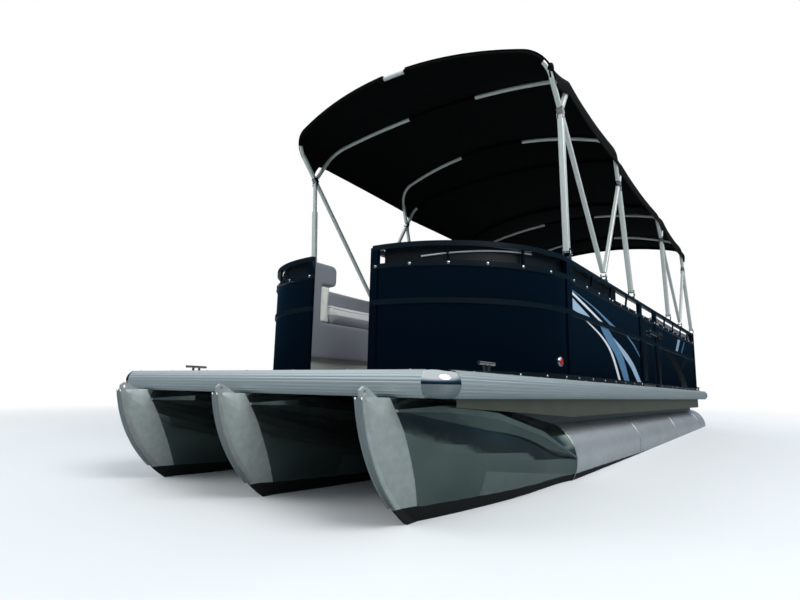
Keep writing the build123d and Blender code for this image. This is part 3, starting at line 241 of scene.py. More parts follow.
railBands = [(deckTop, sillTop, "#07131a", 0.22)]
railBands += [(top - railTube, top, "#07131a", 0.22) for top in (midTop, secondTop, fenceTop)]
deckBands = [(0.7797, 0.782, "#8d8a84", 0.7)]
shellBands = [(0.70, 0.9005, "#a9acaa", 0.5)]
look = {
    "pontoon": pontoonMetal(),
    # Weld beads and stem strips, bright from grinding
    "weld": brushedMetal("aluminium_weld_ground", "#c4cac9", "#e0e4e3", 0.34, 3, (1, 1, 1)),
    # Extruded ribbed bumper rail, mill finish drawn lengthways
    "bumper": brushedMetal("aluminium_extruded_satin", "#a3b0b4", "#c6d0d3", 0.34, 5, (0.02, 1, 1), 0.6),
    # Sand-cast corners, machine polished
    "casting": newMaterial("aluminium_cast_polished", "#c8ced1", 0.06, 1.0),
    # Roll-formed cross channels, bare from the mill, their tone darkened as painted shade under the deck
    "channel": brushedMetal("aluminium_channel_painted_shade", "#5f676b", "#7d8589", 0.4, 20, (1, 0.1, 1)),
    # Folded edge skirt, grey mill finish warmed to beige as a painted reflection of the warm shore
    "skirt": brushedMetal("aluminium_folded_painted_reflection", "#8f8d7d", "#a8a694", 0.42, 60, (0.3, 1, 1)),
    # Acrylic-faced panels with a deep wet gloss between powder-coated rails
    "fence": zoned("acrylic_faced_panel_black", railBands, "#020a14", 0.05, 0.6),
    # Vinyl flooring glued to the top face of the board
    "deck": zoned("marine_vinyl_flooring", deckBands, "#5f6264", 0.6),
    # Rotomoulded seat bases, and vacuum-formed shells behind the backs, their near-black navy partly painted
    # shade
    "shell": zoned("polyethylene_rotomoulded", shellBands, "#787c84", 0.42),
    "shellBack": newMaterial("polyethylene_back_shell_painted_shade", "#050d13", 0.35),
    # Marine vinyl over foam: dark boxing and pale tops
    "vinyl": grained("marine_vinyl_grey", "#85888e", "#94979d", 0.42, 1.6, 0.0003),
    "vinylLight": grained("marine_vinyl_light_grey", "#bfc1c0", "#cfd1d0", 0.42, 1.6, 0.0003),
    "vinylPale": grained("marine_vinyl_off_white", "#cfd0ca", "#dfe0da", 0.42, 1.6, 0.0003),
    # Vinyl cord sewn into the seams
    "piping": newMaterial("marine_vinyl_piping_pale", "#b9bcbe", 0.35),
    # Clear anodised square tube, pale as the bare metal is, but brightened to its sunlit look as painted
    # light and tinted green as a painted reflection of the water
    "tube": brushedMetal("aluminium_tube_anodised", "#c6cfc9", "#e6ece8", 0.38, 8, (1, 1, 0.08), 0.45),
    # Stamped and turned stainless steel, buffed
    "steel": newMaterial("stainless_steel_polished", "#cfd1d2", 0.16, 1.0),
    # Solution-dyed acrylic yarn in a plain weave
    "canvas": grained("acrylic_canvas_woven_black", "#030404", "#050607", 0.9, 1.2, 0.0005, 0.12),
    # Gelcoat over hand-laid glass fibre
    "console": newMaterial("gelcoat_moulded_grey", "#4d4f52", 0.18, Coat_Weight=0.4),
    # Cast acrylic sheet, smoked and heat bent
    "glass": newMaterial("acrylic_sheet_smoked", "#5a6165", 0.03, Transmission_Weight=0.9),
    # Printed faces and moulded switches with a clear gloss
    "dial": newMaterial("gauge_face_black", "#101214", 0.2, Coat_Weight=0.6),
    # Motor covers under baked paint and lacquer, then its castings, sprayed once
    "motor": newMaterial("aluminium_painted_gloss_black", "#0b0c0e", 0.16, Coat_Weight=0.4),
    "motorGrey": newMaterial("aluminium_painted_graphite", "#3c4045", 0.3),
    # Pressed rubber of the wheel, seals, latch and treads
    "rubber": newMaterial("rubber_moulded_black", "#121212", 0.7),
    # Injection-moulded lamp lenses
    "red": newMaterial("polycarbonate_lens_red", "#b00f12", 0.12, Coat_Weight=0.5),
    "green": newMaterial("polycarbonate_lens_green", "#0f8a3c", 0.12, Coat_Weight=0.5),
    "white": newMaterial("polycarbonate_lens_clear", "#dfe3e4", 0.15, Coat_Weight=0.5),
    # Cast vinyl film under the panels' gloss
    "stripePale": newMaterial("vinyl_film_pale_silver", "#a9c4dc", 0.12, Coat_Weight=0.3),
    "stripeWhite": newMaterial("vinyl_film_white", "#e6ecf2", 0.12, Coat_Weight=0.3),
    "stripeBlue": newMaterial("vinyl_film_steel_blue", "#5f86a8", 0.12, Coat_Weight=0.3),
    "stripeDark": newMaterial("vinyl_film_black", "#010102", 0.3),
    "bandBlack": newMaterial("vinyl_film_black_band", "#010204", 0.3),
}
cadLooks = {
    "pontoon": "toon_port toon_centre toon_starboard motor_pod",
    "channel": "risers cross_channels",
    "bumper": "deck_rail",
    "casting": "corner_caps",
    "skirt": "side_skirts",
    "deck": "deck",
    "fence": "fence_bow_port fence_bow_starboard fence_side_port fence_side_starboard fence_stern"
             " gate_bow gate_side gate_stern",
    "shell": "bow_bases stern_base",
    "vinyl": "bow_seats bow_backs stern_seats stern_backs helm_chair",
    "vinylLight": "bow_end_cushions",
    "console": "helm_console",
    "glass": "windscreen",
    "rubber": "steering_wheel",
    "tube": "top_legs top_bows",
    "steel": "top_fittings fixed_hinges cleats boarding_ladder chair_pedestal propeller",
    "canvas": "canopy_front canopy_bridge canopy_rear",
    "motor": "motor_clamp swivel_bracket motor_leg motor_cowl",
    "white": "lamps",
}
for key, names in cadLooks.items():
    for name in names.split():
        nodes[name].data.materials.clear()
        nodes[name].data.materials.append(look[key])
print("stage: materials on the CAD nodes")


# Meshes
def linked(name, mesh):
    made = bpy.data.objects.new(name, mesh)
    bpy.context.scene.collection.objects.link(made)
    return made


def piece(name, verts, faces, material, body="boat", smooth=True):
    # A mesh object in the row frame, riding on a body
    mesh = bpy.data.meshes.new(name)
    mesh.from_pydata([tuple(v) for v in verts], [], faces)
    mesh.materials.append(look[material])
    if smooth:
        mesh.shade_smooth()
    made = linked(name, mesh)
    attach(made, body)
    return made


def cleanup(mesh):
    work = bmesh.new()
    work.from_mesh(mesh)
    bmesh.ops.remove_doubles(work, verts=work.verts, dist=1e-5)
    bmesh.ops.recalc_face_normals(work, faces=work.faces)
    work.to_mesh(mesh)
    work.free()


def applyModifiers(made):
    evaluated = made.evaluated_get(bpy.context.evaluated_depsgraph_get())
    result = bpy.data.meshes.new_from_object(evaluated)
    made.modifiers.clear()
    made.data = result


def evenSkin(made, voxel, factor, passes):
    # Remeshed in even voxels, then smoothed
    cleanup(made.data)
    grid = made.modifiers.new("grid", "REMESH")
    grid.mode = "VOXEL"
    grid.voxel_size = voxel
    applyModifiers(made)
    soften = made.modifiers.new("soften", "SMOOTH")
    soften.factor = factor
    soften.iterations = passes
    applyModifiers(made)


boxFaces = [(0, 1, 3, 2), (4, 6, 7, 5), (0, 4, 5, 1), (2, 3, 7, 6), (0, 2, 6, 4), (1, 5, 7, 3)]


class Parts:
    # Collects simple shapes that share one mesh
    def __init__(self):
        self.verts = []
        self.faces = []

    def add(self, verts, faces):
        start = len(self.verts)
        self.verts += [tuple(v) for v in verts]
        self.faces += [tuple(start + i for i in face) for face in faces]

    def box(self, low, high, turn=None, centre=None):
        corners = [Vector(corner) for corner in itertools.product(*zip(low, high))]
        if turn is not None:
            # Low and high are then measured from the centre, along the turned axes
            corners = [Vector(centre) + turn @ c for c in corners]
        self.add(corners, boxFaces)

    def tube(self, points, radius, sides=12, closed=False):
        # Round section along a line, its ends closed
        line = [Vector(p) for p in points]
        count = len(line)
        radii = radius if hasattr(radius, "__len__") else [radius] * count
        verts = []
        side = None
        for i in range(count):
            if closed:
                along = line[(i + 1) % count] - line[i - 1]
            else:
                along = line[min(i + 1, count - 1)] - line[max(i - 1, 0)]
            along.normalize()
            if side is None:
                side = along.orthogonal().normalized()
            side = (side - along * side.dot(along)).normalized()
            other = along.cross(side)
            for k in range(sides):
                turn = 2 * math.pi * k / sides
                verts.append(line[i] + (side * math.cos(turn) + other * math.sin(turn)) * radii[i])
        faces = []
        for i in range(count if closed else count - 1):
            j = (i + 1) % count
            for k in range(sides):
                m = (k + 1) % sides
                faces.append((i * sides + k, i * sides + m, j * sides + m, j * sides + k))
        if not closed:
            faces.append(tuple(range(sides))[::-1])
            faces.append(tuple((count - 1) * sides + k for k in range(sides)))
        self.add(verts, faces)

    def disc(self, centre, axis, profile, sides=24):
        # Turned shape: profile is (distance along the axis, radius) from one end to the other
        axis = Vector(axis).normalized()
        line = [Vector(centre) + axis * distance for distance, radius in profile]
        self.tube(line, [max(radius, 1e-5) for distance, radius in profile], sides)

    def cheeks(self, place, gap, thick, half, low, high):
        # Two upright plates on either side of a place (x, y), each gap away from it
        x, y = place
        for side in (-1, 1):
            near, far = sorted((y + side * gap, y + side * (gap + thick)))
            self.box((x - half, near, low), (x + half, far, high))

    def sheet(self, rows, flip=False):
        # Grid of points as one open surface
        wide = len(rows[0])
        faces = []
        for i in range(len(rows) - 1):
            for k in range(wide - 1):
                quad = (i * wide + k, i * wide + k + 1, (i + 1) * wide + k + 1, (i + 1) * wide + k)
                faces.append(quad[::-1] if flip else quad)
        self.add([point for row in rows for point in row], faces)

    def make(self, name, material, body="boat", smooth=True, slot=None, bevel=0.0, segments=2):
        made = piece(name, self.verts, self.faces, material, body, smooth)
        if bevel:
            rounder = made.modifiers.new("edges", "BEVEL")
            rounder.width = bevel
            rounder.segments = segments
            rounder.limit_method = "ANGLE"
            rounder.angle_limit = math.radians(35)
            rounder.harden_normals = True
        return made


# Folding tops: span is half the width between the legs, crown the radius of the top's middle
span, bend, crown = 1.176, 0.215, 3.24
bendAngle = math.acos((span - bend) / (crown - bend))
crownRise = crown - (crown - bend) * math.sin(bendAngle)
crownLength = crown * (math.pi / 2 - bendAngle)
halfLength = crownLength + bend * bendAngle
foot = fenceTop + 0.035


def alongLean(start, end, reach):
    run = Vector((end[0] - start[0], end[1] - start[1])).normalized()
    return (start[0] + run[0] * reach, start[1] + run[1] * reach)


# Points (x, z) of the feet, end bows and inner ribs, knuckles as distances up the legs, and the poles' x
topPlaces = {
    "front": dict(
        foot=(1.23, foot), ends=[(2.542, 3.074), (0.346, 3.052)], knuckles=(1.35, 1.13),
        ribs=[(1.787, 3.163), (0.834, 3.153)], poles=(2.085, 0.345),
    ),
    "rear": dict(
        foot=(-2.2, foot), ends=[(-0.796, 2.969), (-2.994, 2.937)], knuckles=(1.308, 0.96),
        ribs=[(-1.527, 3.036), (-2.469, 2.984)], poles=(-1.42, -3.12),
    ),
}
bows, knuckles = {}, {}
for key, top in topPlaces.items():
    front = alongLean(top["foot"], top["ends"][0], top["knuckles"][0])
    rear = alongLean(top["foot"], top["ends"][1], top["knuckles"][1])
    heads = (top["ends"][0], *top["ribs"], top["ends"][1])
    bows[key] = list(zip((top["foot"], front, rear, top["foot"]), heads))
    knuckles[key] = [(front, top["poles"][0]), (rear, top["poles"][1])]


def sectionPoint(distance, grow):
    # Half section of a bow from its middle outwards: across, and above the bend's start
    if distance <= crownLength:
        turn = distance / crown
        return (crown + grow) * math.sin(turn), (crown + grow) * math.cos(turn) - (crown - crownRise)
    if distance <= halfLength:
        turn = bendAngle - (distance - crownLength) / bend
        return span - bend + (bend + grow) * math.cos(turn), (bend + grow) * math.sin(turn)
    return span + grow, halfLength - distance


def bowPoint(bow, distance, grow):
    # Point of a bow's section in the row frame; distance is signed, to port positive
    start, top = bow
    run = Vector((top[0] - start[0], top[1] - start[1]))
    reach = run.length - crownRise
    run.normalize()
    across, above = sectionPoint(abs(distance), grow)
    side = 1 if distance >= 0 else -1
    above += reach
    return Vector((start[0] + run[0] * above, side * across, start[1] + run[1] * above))


canvas = dict(
    hem=0.068, lift=0.0195, sag=0.026, thick=0.0024, steps=12, columns=120,
    flap=0.26, flapEnd=0.75,  # the flap's drop at the starboard front corner, and the bays that it covers
    notchLow=-0.06, notchHigh=0.13, notchBack=0.05,  # opening of the front pocket
)
canvasHalf = halfLength + canvas["hem"]
columnPlaces = [canvasHalf * (2 * i / canvas["columns"] - 1) for i in range(canvas["columns"] + 1)]
notchMiddle = (canvas["notchLow"] + canvas["notchHigh"]) / 2
notchWide = canvas["notchHigh"] - canvas["notchLow"]


def lean(bow):
    start, top = bow
    return (top[1] - start[1]) / math.hypot(top[0] - start[0], top[1] - start[1])


def canvasRows(bowList, seed):
    # Stretched cloth over its bows, hollow between them, with slack pulls near the corners
    rows = []
    waves = np.random.default_rng(seed).uniform(0, 2 * math.pi, (len(bowList), 4))
    atFront = bowList is bows["front"]
    for b, (first, second) in enumerate(zip(bowList, bowList[1:])):
        last = b == len(bowList) - 2
        for step in range(canvas["steps"] + (1 if last else 0)):
            t = step / canvas["steps"]
            hollow = 4 * t * (1 - t)
            row = []
            for s in columnPlaces:
                place = s
                if atFront and s < -halfLength:
                    # A flap hangs down the starboard leg at the front corner
                    drop = canvas["flap"] * max(0, 1 - (b + t) / canvas["flapEnd"])
                    place -= drop * (-s - halfLength) / canvas["hem"]
                a = bowPoint(first, place, canvas["lift"] / lean(first))
                c = bowPoint(second, place, canvas["lift"] / lean(second))
                shift = t
                if atFront and b == 0 and step < 2:
                    # The front pocket is open for a hand's width, where the tube shows
                    inside = max(0, 1 - abs(s - notchMiddle) / notchWide * 2)
                    shift += canvas["notchBack"] * min(1, inside * 8) * (2 - step)
                wrinkle = 0.0022 * math.sin(19 * s + 4 * t + waves[b][0]) * math.sin(9 * t + waves[b][1])
                wrinkle += 0.0015 * math.sin(41 * s - 7 * t + waves[b][2])
                pull = hollow * (canvas["sag"] + wrinkle)
                # The hollow goes down on the crown and inwards at the sides
                bent = min(1, abs(s) / halfLength) ** 6
                inward = -bent if s > 0 else bent
                row.append(a.lerp(c, shift) + Vector((0, inward * 0.55, 0.8 * bent - 1)) * pull)
            rows.append(row)
    return rows


clothSpecs = {
    "canvas_front": ("canopy_front", bows["front"], 3),
    "canvas_bridge": ("canopy_bridge", [bows["front"][-1], bows["rear"][0]], 5),
    "canvas_rear": ("canopy_rear", bows["rear"], 7),
}
for name, (node, bowList, seed) in clothSpecs.items():
    rows = canvasRows(bowList, seed)
    cloth = Parts()
    cloth.sheet(rows)
    made = cloth.make(name, "canvas", slot="canvas")
    wall = made.modifiers.new("thickness", "SOLIDIFY")
    wall.thickness = canvas["thick"]
    wall.offset = 1.0
    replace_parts(made, node)

# Sleeves: each inner bow's middle is in a sewn pocket, the end bows are rolled in nearly to their bends
sleeve = dict(inner=0.34, end=1.2, radius=0.0185, ripple=0.0006, step=0.04)
sleeves = Parts()
for key, bowList in bows.items():
    for index, bow in enumerate(bowList):
        reach = sleeve["end" if index in (0, 3) else "inner"]
        spans = [(-reach, reach)]
        if key == "front" and index == 0:
            spans = [(-reach, canvas["notchLow"]), (canvas["notchHigh"], reach)]
        for low, high in spans:
            count = max(8, int((high - low) / sleeve["step"]))
            line = [bowPoint(bow, low + (high - low) * i / count, 0) for i in range(count + 1)]
            radii = [sleeve["radius"] + sleeve["ripple"] * math.sin(i * 1.7) for i in range(count + 1)]
            sleeves.tube(line, radii, 14)
sleeves.make("canvas_sleeves", "canvas", slot="canvas")
# Rolled strap with its tail at the port front corner
straps = Parts()
corner = bowPoint(bows["front"][0], halfLength - 0.1, 0.03)
roll = [(0, 0.024), (0.008, 0.03), (0.03, 0.03), (0.038, 0.024)]
tail = [(-0.03, 0, -0.02), (-0.02, 0.006, -0.075), (-0.03, 0.006, -0.11)]
straps.disc(corner + Vector((-0.045, -0.02, -0.03)), (0, 1, 0), roll, 18)
straps.tube([corner + Vector(place) for place in tail], 0.006, 8)
straps.make("canvas_strap", "canvas", slot="canvas")
print("stage: canvas tops")


# Cushions: cap is as far as the simulation may move a point, spill as far as one may leave the outline
foamSizes = dict(
    smoothing=0.5, passes=2, shrink=0.009, cap=0.02, spill=0.003, pressure=4, frames=10, fill=0.75,
    crown=0.012, crownReach=0.09, above=0.008,
    grooveWidth=0.011, grooveDepth=0.009, boxingShare=0.52,
)


def coordinates(made):
    flat = np.empty(len(made.data.vertices) * 3)
    made.data.vertices.foreach_get("co", flat)
    return flat.reshape(-1, 3)


def toOutline(points, outline):
    # In plan: each point's nearest place on the outline, the distance to it, and whether the point is inside
    best = np.full(len(points), 9.0)
    nearest = np.zeros((len(points), 2))
    inside = np.zeros(len(points), bool)
    for i in range(len(outline)):
        a, b = np.array(outline[i - 1]), np.array(outline[i])
        run = b - a
        t = np.clip(((points - a) @ run) / max(run @ run, 1e-12), 0, 1)
        place = a + t[:, None] * run
        far = np.linalg.norm(points - place, axis=1)
        closer = far < best
        best[closer] = far[closer]
        nearest[closer] = place[closer]
        crossing = (a[1] > points[:, 1]) != (b[1] > points[:, 1])
        if abs(run[1]) > 1e-12:
            inside ^= crossing & (points[:, 0] < a[0] + (points[:, 1] - a[1]) / run[1] * run[0])
    return nearest, best, inside


def extruded(name, outline, low, high, material, body):
    # The outline drawn in a little, as a closed block
    count, shrink = len(outline), foamSizes["shrink"]
    inset = []
    for i in range(count):
        before, here, after = (Vector(outline[k % count]) for k in (i - 1, i, i + 1))
        along = (here - before).normalized() + (after - here).normalized()
        inset.append(here + Vector((-along.y, along.x)).normalized() * shrink)
    verts = [(p.x, p.y, low + shrink * 0.3) for p in inset] + [(p.x, p.y, high - shrink) for p in inset]
    faces = [tuple(range(count))[::-1], tuple(range(count, 2 * count))]
    faces += [(i, (i + 1) % count, count + (i + 1) % count, count + i) for i in range(count)]
    return piece(name, verts, faces, material, body)


def blownUp(made):
    # Cloth with pressure, no point further than the cap
    start = coordinates(made)
    cloth = made.modifiers.new("cloth", "CLOTH")
    cloth.settings.use_pressure = True
    cloth.settings.uniform_pressure_force = foamSizes["pressure"]
    cloth.settings.effector_weights.gravity = 0
    cloth.settings.quality = 3
    for number in range(1, foamSizes["frames"] + 1):
        bpy.context.scene.frame_set(number)
    applyModifiers(made)
    bpy.context.scene.frame_set(1)
    shift = coordinates(made) - start
    far = np.linalg.norm(shift, axis=1, keepdims=True)
    return start + shift * np.minimum(1, foamSizes["cap"] / np.maximum(far, 1e-9))


def foam(name, outline, low, high, material, voxel, body, grooves, boxed):
    # A foam cushion: the outline is extruded, remeshed, blown up as cloth, then crowned and sewn
    size = foamSizes
    made = extruded(name, outline, low, high, material, body)
    evenSkin(made, voxel, size["smoothing"], size["passes"])
    placed = blownUp(made)
    # The cover keeps the cushion within a few millimetres of its outline
    nearest, edge, within = toOutline(placed[:, :2], outline)
    bulge = ~within & (edge > size["spill"])
    pull = (size["spill"] / np.maximum(edge[bulge], 1e-9))[:, None]
    placed[bulge, :2] = nearest[bulge] + (placed[bulge, :2] - nearest[bulge]) * pull
    edge[~within] = 0
    rise = (placed[:, 2] - low) / (high - low)
    dome = 1 - (1 - np.minimum(edge / size["crownReach"], 1)) ** 2
    placed[:, 2] += size["crown"] * dome * np.clip(rise, 0, 1) ** 2
    for axis, value, first, last in grooves:
        # A sewn channel across the top and the front
        gap = np.abs(placed[:, axis] - value) / size["grooveWidth"]
        inside = (placed[:, 1 - axis] > first) & (placed[:, 1 - axis] < last)
        depth = size["grooveDepth"] * np.exp(-gap ** 2) * np.clip(rise * 2 - 1, 0, 1)
        placed[:, 2] -= np.where(inside, depth, 0)
    placed[:, 2] = np.clip(placed[:, 2], low, high + size["above"])
    made.data.vertices.foreach_set("co", placed.ravel())
    made.data.shade_smooth()
    if boxed:
        # The lower part of the sides is darker boxing, sewn on with a piping line above
        made.data.materials.append(look["vinyl"])
        tops = [v.co.z for v in made.data.vertices]
        split = low + size["boxingShare"] * (high - low)
        for face in made.data.polygons:
            if sum(tops[i] for i in face.vertices) / len(face.vertices) < split:
                face.material_index = 1
    return made


def arcPoints(centre, radius, first, last, steps):
    # Points round an arc whose angles are in degrees
    turns = [math.radians(first + (last - first) * i / steps) for i in range(steps + 1)]
    return [(centre[0] + radius * math.cos(turn), centre[1] + radius * math.sin(turn)) for turn in turns]


def rectangle(low, high, corner=0.0, steps=5):
    # Plan of a cushion, with round corners
    (x0, y0), (x1, y1) = low, high
    if not corner:
        return [(x0, y0), (x1, y0), (x1, y1), (x0, y1)]
    left, right, near, far = x0 + corner, x1 - corner, y0 + corner, y1 - corner
    line = []
    for x, y, first in ((right, near, 270), (right, far, 0), (left, far, 90), (left, near, 180)):
        line += arcPoints((x, y), corner, first, first + 90, steps)
    return line


def mirrored(outline):
    return [(x, -y) for x, y in reversed(outline)]


def sameWay(outline):
    # Counter-clockwise, so that the inset goes inwards
    pairs = zip(outline[-1:] + outline[:-1], outline)
    area = sum(a[0] * b[1] - b[0] * a[1] for a, b in pairs)
    return outline if area > 0 else outline[::-1]


def channels(axis, places, first, last):
    # Sewn channels at places along one axis, between two limits on the other
    return [(axis, place, first, last) for place in places]


lounge = dict(
    inboard=0.322, out=1.14, aft=0.801, backThick=0.125, radius=0.878, roll=0.092,
    seatLow=1.1554, seatTop=1.285, backTop=1.578, endTop=1.4186, gap=0.002,
)
seatLow, seatTop, backTop = lounge["seatLow"], lounge["seatTop"], lounge["backTop"]
loungeAft, inboard = lounge["aft"], lounge["inboard"]
shellBack = arcX + math.sqrt(lounge["radius"] ** 2 - (inboard - arcY) ** 2) - 0.115
innerRadius = lounge["radius"] - lounge["backThick"]
innerY = lounge["out"] - lounge["backThick"]
seatRadius = innerRadius - lounge["gap"]
seatFront = shellBack - lounge["roll"] - 0.003
seatFirst = math.degrees(math.acos((seatFront - arcX) / seatRadius))
seatOutline = [(loungeAft, inboard), (seatFront, inboard)]
seatOutline += arcPoints(bowCentre, seatRadius, seatFirst, 90, 14)
seatOutline += [(loungeAft, innerY - lounge["gap"])]
outerFirst = math.degrees(math.acos((shellBack - arcX) / lounge["radius"])) + 2
backOutline = arcPoints(bowCentre, lounge["radius"], outerFirst, 90, 16)
backOutline += [(loungeAft, lounge["out"]), (loungeAft, innerY)]
backOutline += arcPoints(bowCentre, innerRadius, 90, outerFirst, 16)
endWidth = math.sqrt(innerRadius ** 2 - (shellBack - 0.1 - arcX) ** 2) + arcY - inboard - 0.135
endFront = shellBack - lounge["gap"]
endOutline = rectangle((shellBack - lounge["roll"], inboard), (endFront, inboard + endWidth))
seatMirrored, backMirrored, endMirrored = (mirrored(line) for line in (seatOutline, backOutline, endOutline))

stern = dict(aft=-3.148, front=-2.558, inner=0.55, forward=-1.0, board=-0.38, seatOut=1.014, out=1.14)
aft, board, seatOut = stern["aft"], stern["board"], stern["seatOut"]
sternSeat = rectangle((aft + 0.126, board), (stern["front"], seatOut), 0.02)
benchSeat = rectangle((stern["front"] + 0.002, stern["inner"]), (stern["forward"], seatOut), 0.02)
sternBack = rectangle((aft, board), (aft + 0.125, seatOut), 0.03)
benchBack = rectangle((aft, seatOut + 0.002), (stern["forward"], stern["out"]), 0.03)

chair = dict(x=-0.88, y=-0.8025, low=1.18, back=-1.11)
cx, cy, cz = chair["x"], chair["y"], chair["low"]
chairSeat = rectangle((cx - 0.2, cy - 0.19), (cx + 0.23, cy + 0.19), 0.06)
chairBack = rectangle((chair["back"] + 0.004, cy - 0.205), (chair["back"] + 0.108, cy + 0.205), 0.045)

cushionKinds = {
    # low, high, material, voxel, body
    "seat": (seatLow, seatTop, "vinylLight", 0.012, "boat"),
    "loungeBack": (seatLow, backTop, "vinyl", 0.0125, "boat"),
    "benchBack": (seatLow, backTop, "vinyl", 0.012, "boat"),
    "end": (seatLow + 0.001, lounge["endTop"], "vinylPale", 0.008, "boat"),
    "chairSeat": (cz + 0.02, cz + 0.125, "vinylLight", 0.008, "chair"),
    "chairBack": (cz + 0.1, cz + 0.6, "vinyl", 0.008, "chair"),
}
seatSeams, backSeams, sternSeams, benchSeams = (1.35, 1.9), (1.2, 1.65, 2.1), (0.1, 0.56), (-2.05, -1.5)
chairSeams = (cy - 0.11, cy + 0.11)
cushionSpecs = [
    # name, kind, outline, node that it replaces, channels
    ("seat_cushion_bow_port", "seat", seatOutline, "bow_seats", channels(0, seatSeams, inboard, 1.2)),
    ("seat_cushion_bow_starboard", "seat", seatMirrored, None, channels(0, seatSeams, -1.2, -inboard)),
    ("back_cushion_bow_port", "loungeBack", backOutline, "bow_backs", channels(0, backSeams, 0.9, 1.2)),
    ("back_cushion_bow_starboard", "loungeBack", backMirrored, None, channels(0, backSeams, -1.2, -0.9)),
    ("end_cushion_bow_port", "end", endOutline, "bow_end_cushions", ()),
    ("end_cushion_bow_starboard", "end", endMirrored, None, ()),
    ("seat_cushion_stern", "seat", sternSeat, "stern_seats", channels(1, sternSeams, -4, -2)),
    ("seat_cushion_port_bench", "seat", benchSeat, None, channels(0, benchSeams, 0, 2)),
    ("back_cushion_stern", "benchBack", sternBack, "stern_backs", channels(1, sternSeams, -4, -2)),
    ("back_cushion_port_bench", "benchBack", benchBack, None, channels(0, benchSeams, 0, 2)),
    ("chair_seat_cushion", "chairSeat", chairSeat, "helm_chair", channels(1, chairSeams, -1.08, -0.7)),
    ("chair_back_cushion", "chairBack", chairBack, None, ()),
]
cushions = {}
for name, kind, outline, node, grooves in cushionSpecs:
    low, high, material, voxel, body = cushionKinds[kind]
    made = foam(name, sameWay(outline), low, high, material, voxel, body, grooves, kind == "seat")
    cushions[name] = made
    if node:
        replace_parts(made, node)

# Piping sewn along the cushions' upper edges, and on the seats along the boxing too
piping = dict(above=0.004, out=0.001, step=0.03, radius=0.003, lowRadius=0.0022)
cords = {"boat": Parts(), "chair": Parts()}
for name, kind, outline, node, grooves in cushionSpecs:
    low, high, material, voxel, body = cushionKinds[kind]
    lines = [(high + piping["above"], piping["radius"])]
    if kind == "seat":
        lines.append((low + foamSizes["boxingShare"] * (high - low), piping["lowRadius"]))
    for level, radius in lines:
        line = [Vector((x, y, level)) for x, y in sameWay(outline)]
        seated = []
        for a, b in zip(line[-1:] + line[:-1], line):
            pieces = max(1, int((b - a).length / piping["step"]))
            for k in range(pieces):
                place, normal = cushions[name].closest_point_on_mesh(a.lerp(b, k / pieces))[1:3]
                seated.append(place + normal * piping["out"])
        cords[body].tube(seated, radius, 7, closed=True)
for body, group in cords.items():
    group.make("piping_" + body, "piping", body, slot="seat_vinyl")

# Shells behind the lounges' backs, dark as painted shade, with a pale line of painted highlight that rises
# towards the side
backShell = dict(out=0.004, thick=0.008, below=0.012, turn=1.4)
# Painted highlight: a pale tube on the port side only stands for sun on the top edge of the back
sunGlint = dict(out=0.012, first=20, last=66, low=1.498, rise=0.048, radius=0.0055, steps=24)
shells, glintTubes = Parts(), Parts()
shellOut = lounge["out"] + backShell["out"]
line = arcPoints(bowCentre, lounge["radius"] + backShell["out"], 4, 90, 28)
line += [(backShell["turn"], shellOut), (loungeAft, shellOut)]
for side in (1, -1):
    for thick in (0, backShell["thick"]):
        grown = [(x, y + thick * (1 if x < arcX else (y - arcY) / lounge["radius"])) for x, y in line]
        rows = [[(x, side * y, z) for x, y in grown] for z in (seatLow, backTop - backShell["below"])]
        shells.sheet(rows, flip=(side > 0) == (thick > 0))
steps = sunGlint["steps"]
around = arcPoints(bowCentre, lounge["radius"] + sunGlint["out"], sunGlint["first"], sunGlint["last"], steps)
levels = [sunGlint["low"] + sunGlint["rise"] * math.sin(math.pi / 2 * k / steps) for k in range(steps + 1)]
glintTubes.tube([(x, y, z) for (x, y), z in zip(around, levels)], sunGlint["radius"], 8)
shells.make("lounge_back_shells_painted_shade", "shellBack", slot="seat_shell")
glintTubes.make("lounge_back_painted_highlight", "piping", slot="seat_vinyl")

# Helm chair: moulded pan, back shell, arms with pads, and a lever; places are measured from cx, cy and cz
chairShell = dict(aft=0.225, fore=0.2, half=0.2, pan=0.03, thick=0.02, top=0.56)
arm = dict(
    out=0.225, radius=0.012, padHalf=0.024, padAft=-0.15, padFore=0.09, padLow=0.25, padHigh=0.282,
    bend=[(-0.19, 0.12), (-0.17, 0.235), (0.06, 0.25)],  # (x, z) from the foot to the front
    brace=(-0.16, -0.03, 0.02),
)
chairLever = dict(side=-0.1, bend=[(0.19, 0.012), (0.225, 0.008)], radius=0.005)
pan, arms, pads = Parts(), Parts(), Parts()
low, high = cy - chairShell["half"], cy + chairShell["half"]
seatLevel = cz + chairShell["pan"]
pan.box((cx - chairShell["aft"], low, cz), (cx + chairShell["fore"], high, seatLevel))
pan.box((chair["back"], low, seatLevel), (chair["back"] + chairShell["thick"], high, cz + chairShell["top"]))
pan.make("chair_shell", "console", "chair", slot="seat_shell", bevel=0.012, segments=3)
for side in (1, -1):
    y = cy + side * arm["out"]
    line = [(cx + x, y, cz + z) for x, z in arm["bend"]]
    x, inward, z = arm["brace"]
    arms.tube(line, arm["radius"], 12)
    arms.tube([line[0], (cx + x, y + side * inward, cz + z)], arm["radius"], 12)
    padLow = (cx + arm["padAft"], y - arm["padHalf"], cz + arm["padLow"])
    pads.box(padLow, (cx + arm["padFore"], y + arm["padHalf"], cz + arm["padHigh"]))
line = [(cx + x, cy + chairLever["side"], cz + z) for x, z in chairLever["bend"]]
arms.tube(line, chairLever["radius"], 8)
arms.make("chair_arms", "tube", "chair", slot="seat_shell")
pads.make("chair_arm_pads", "vinyl", "chair", slot="seat_vinyl", bevel=0.012, segments=3)
print("stage: cushions")


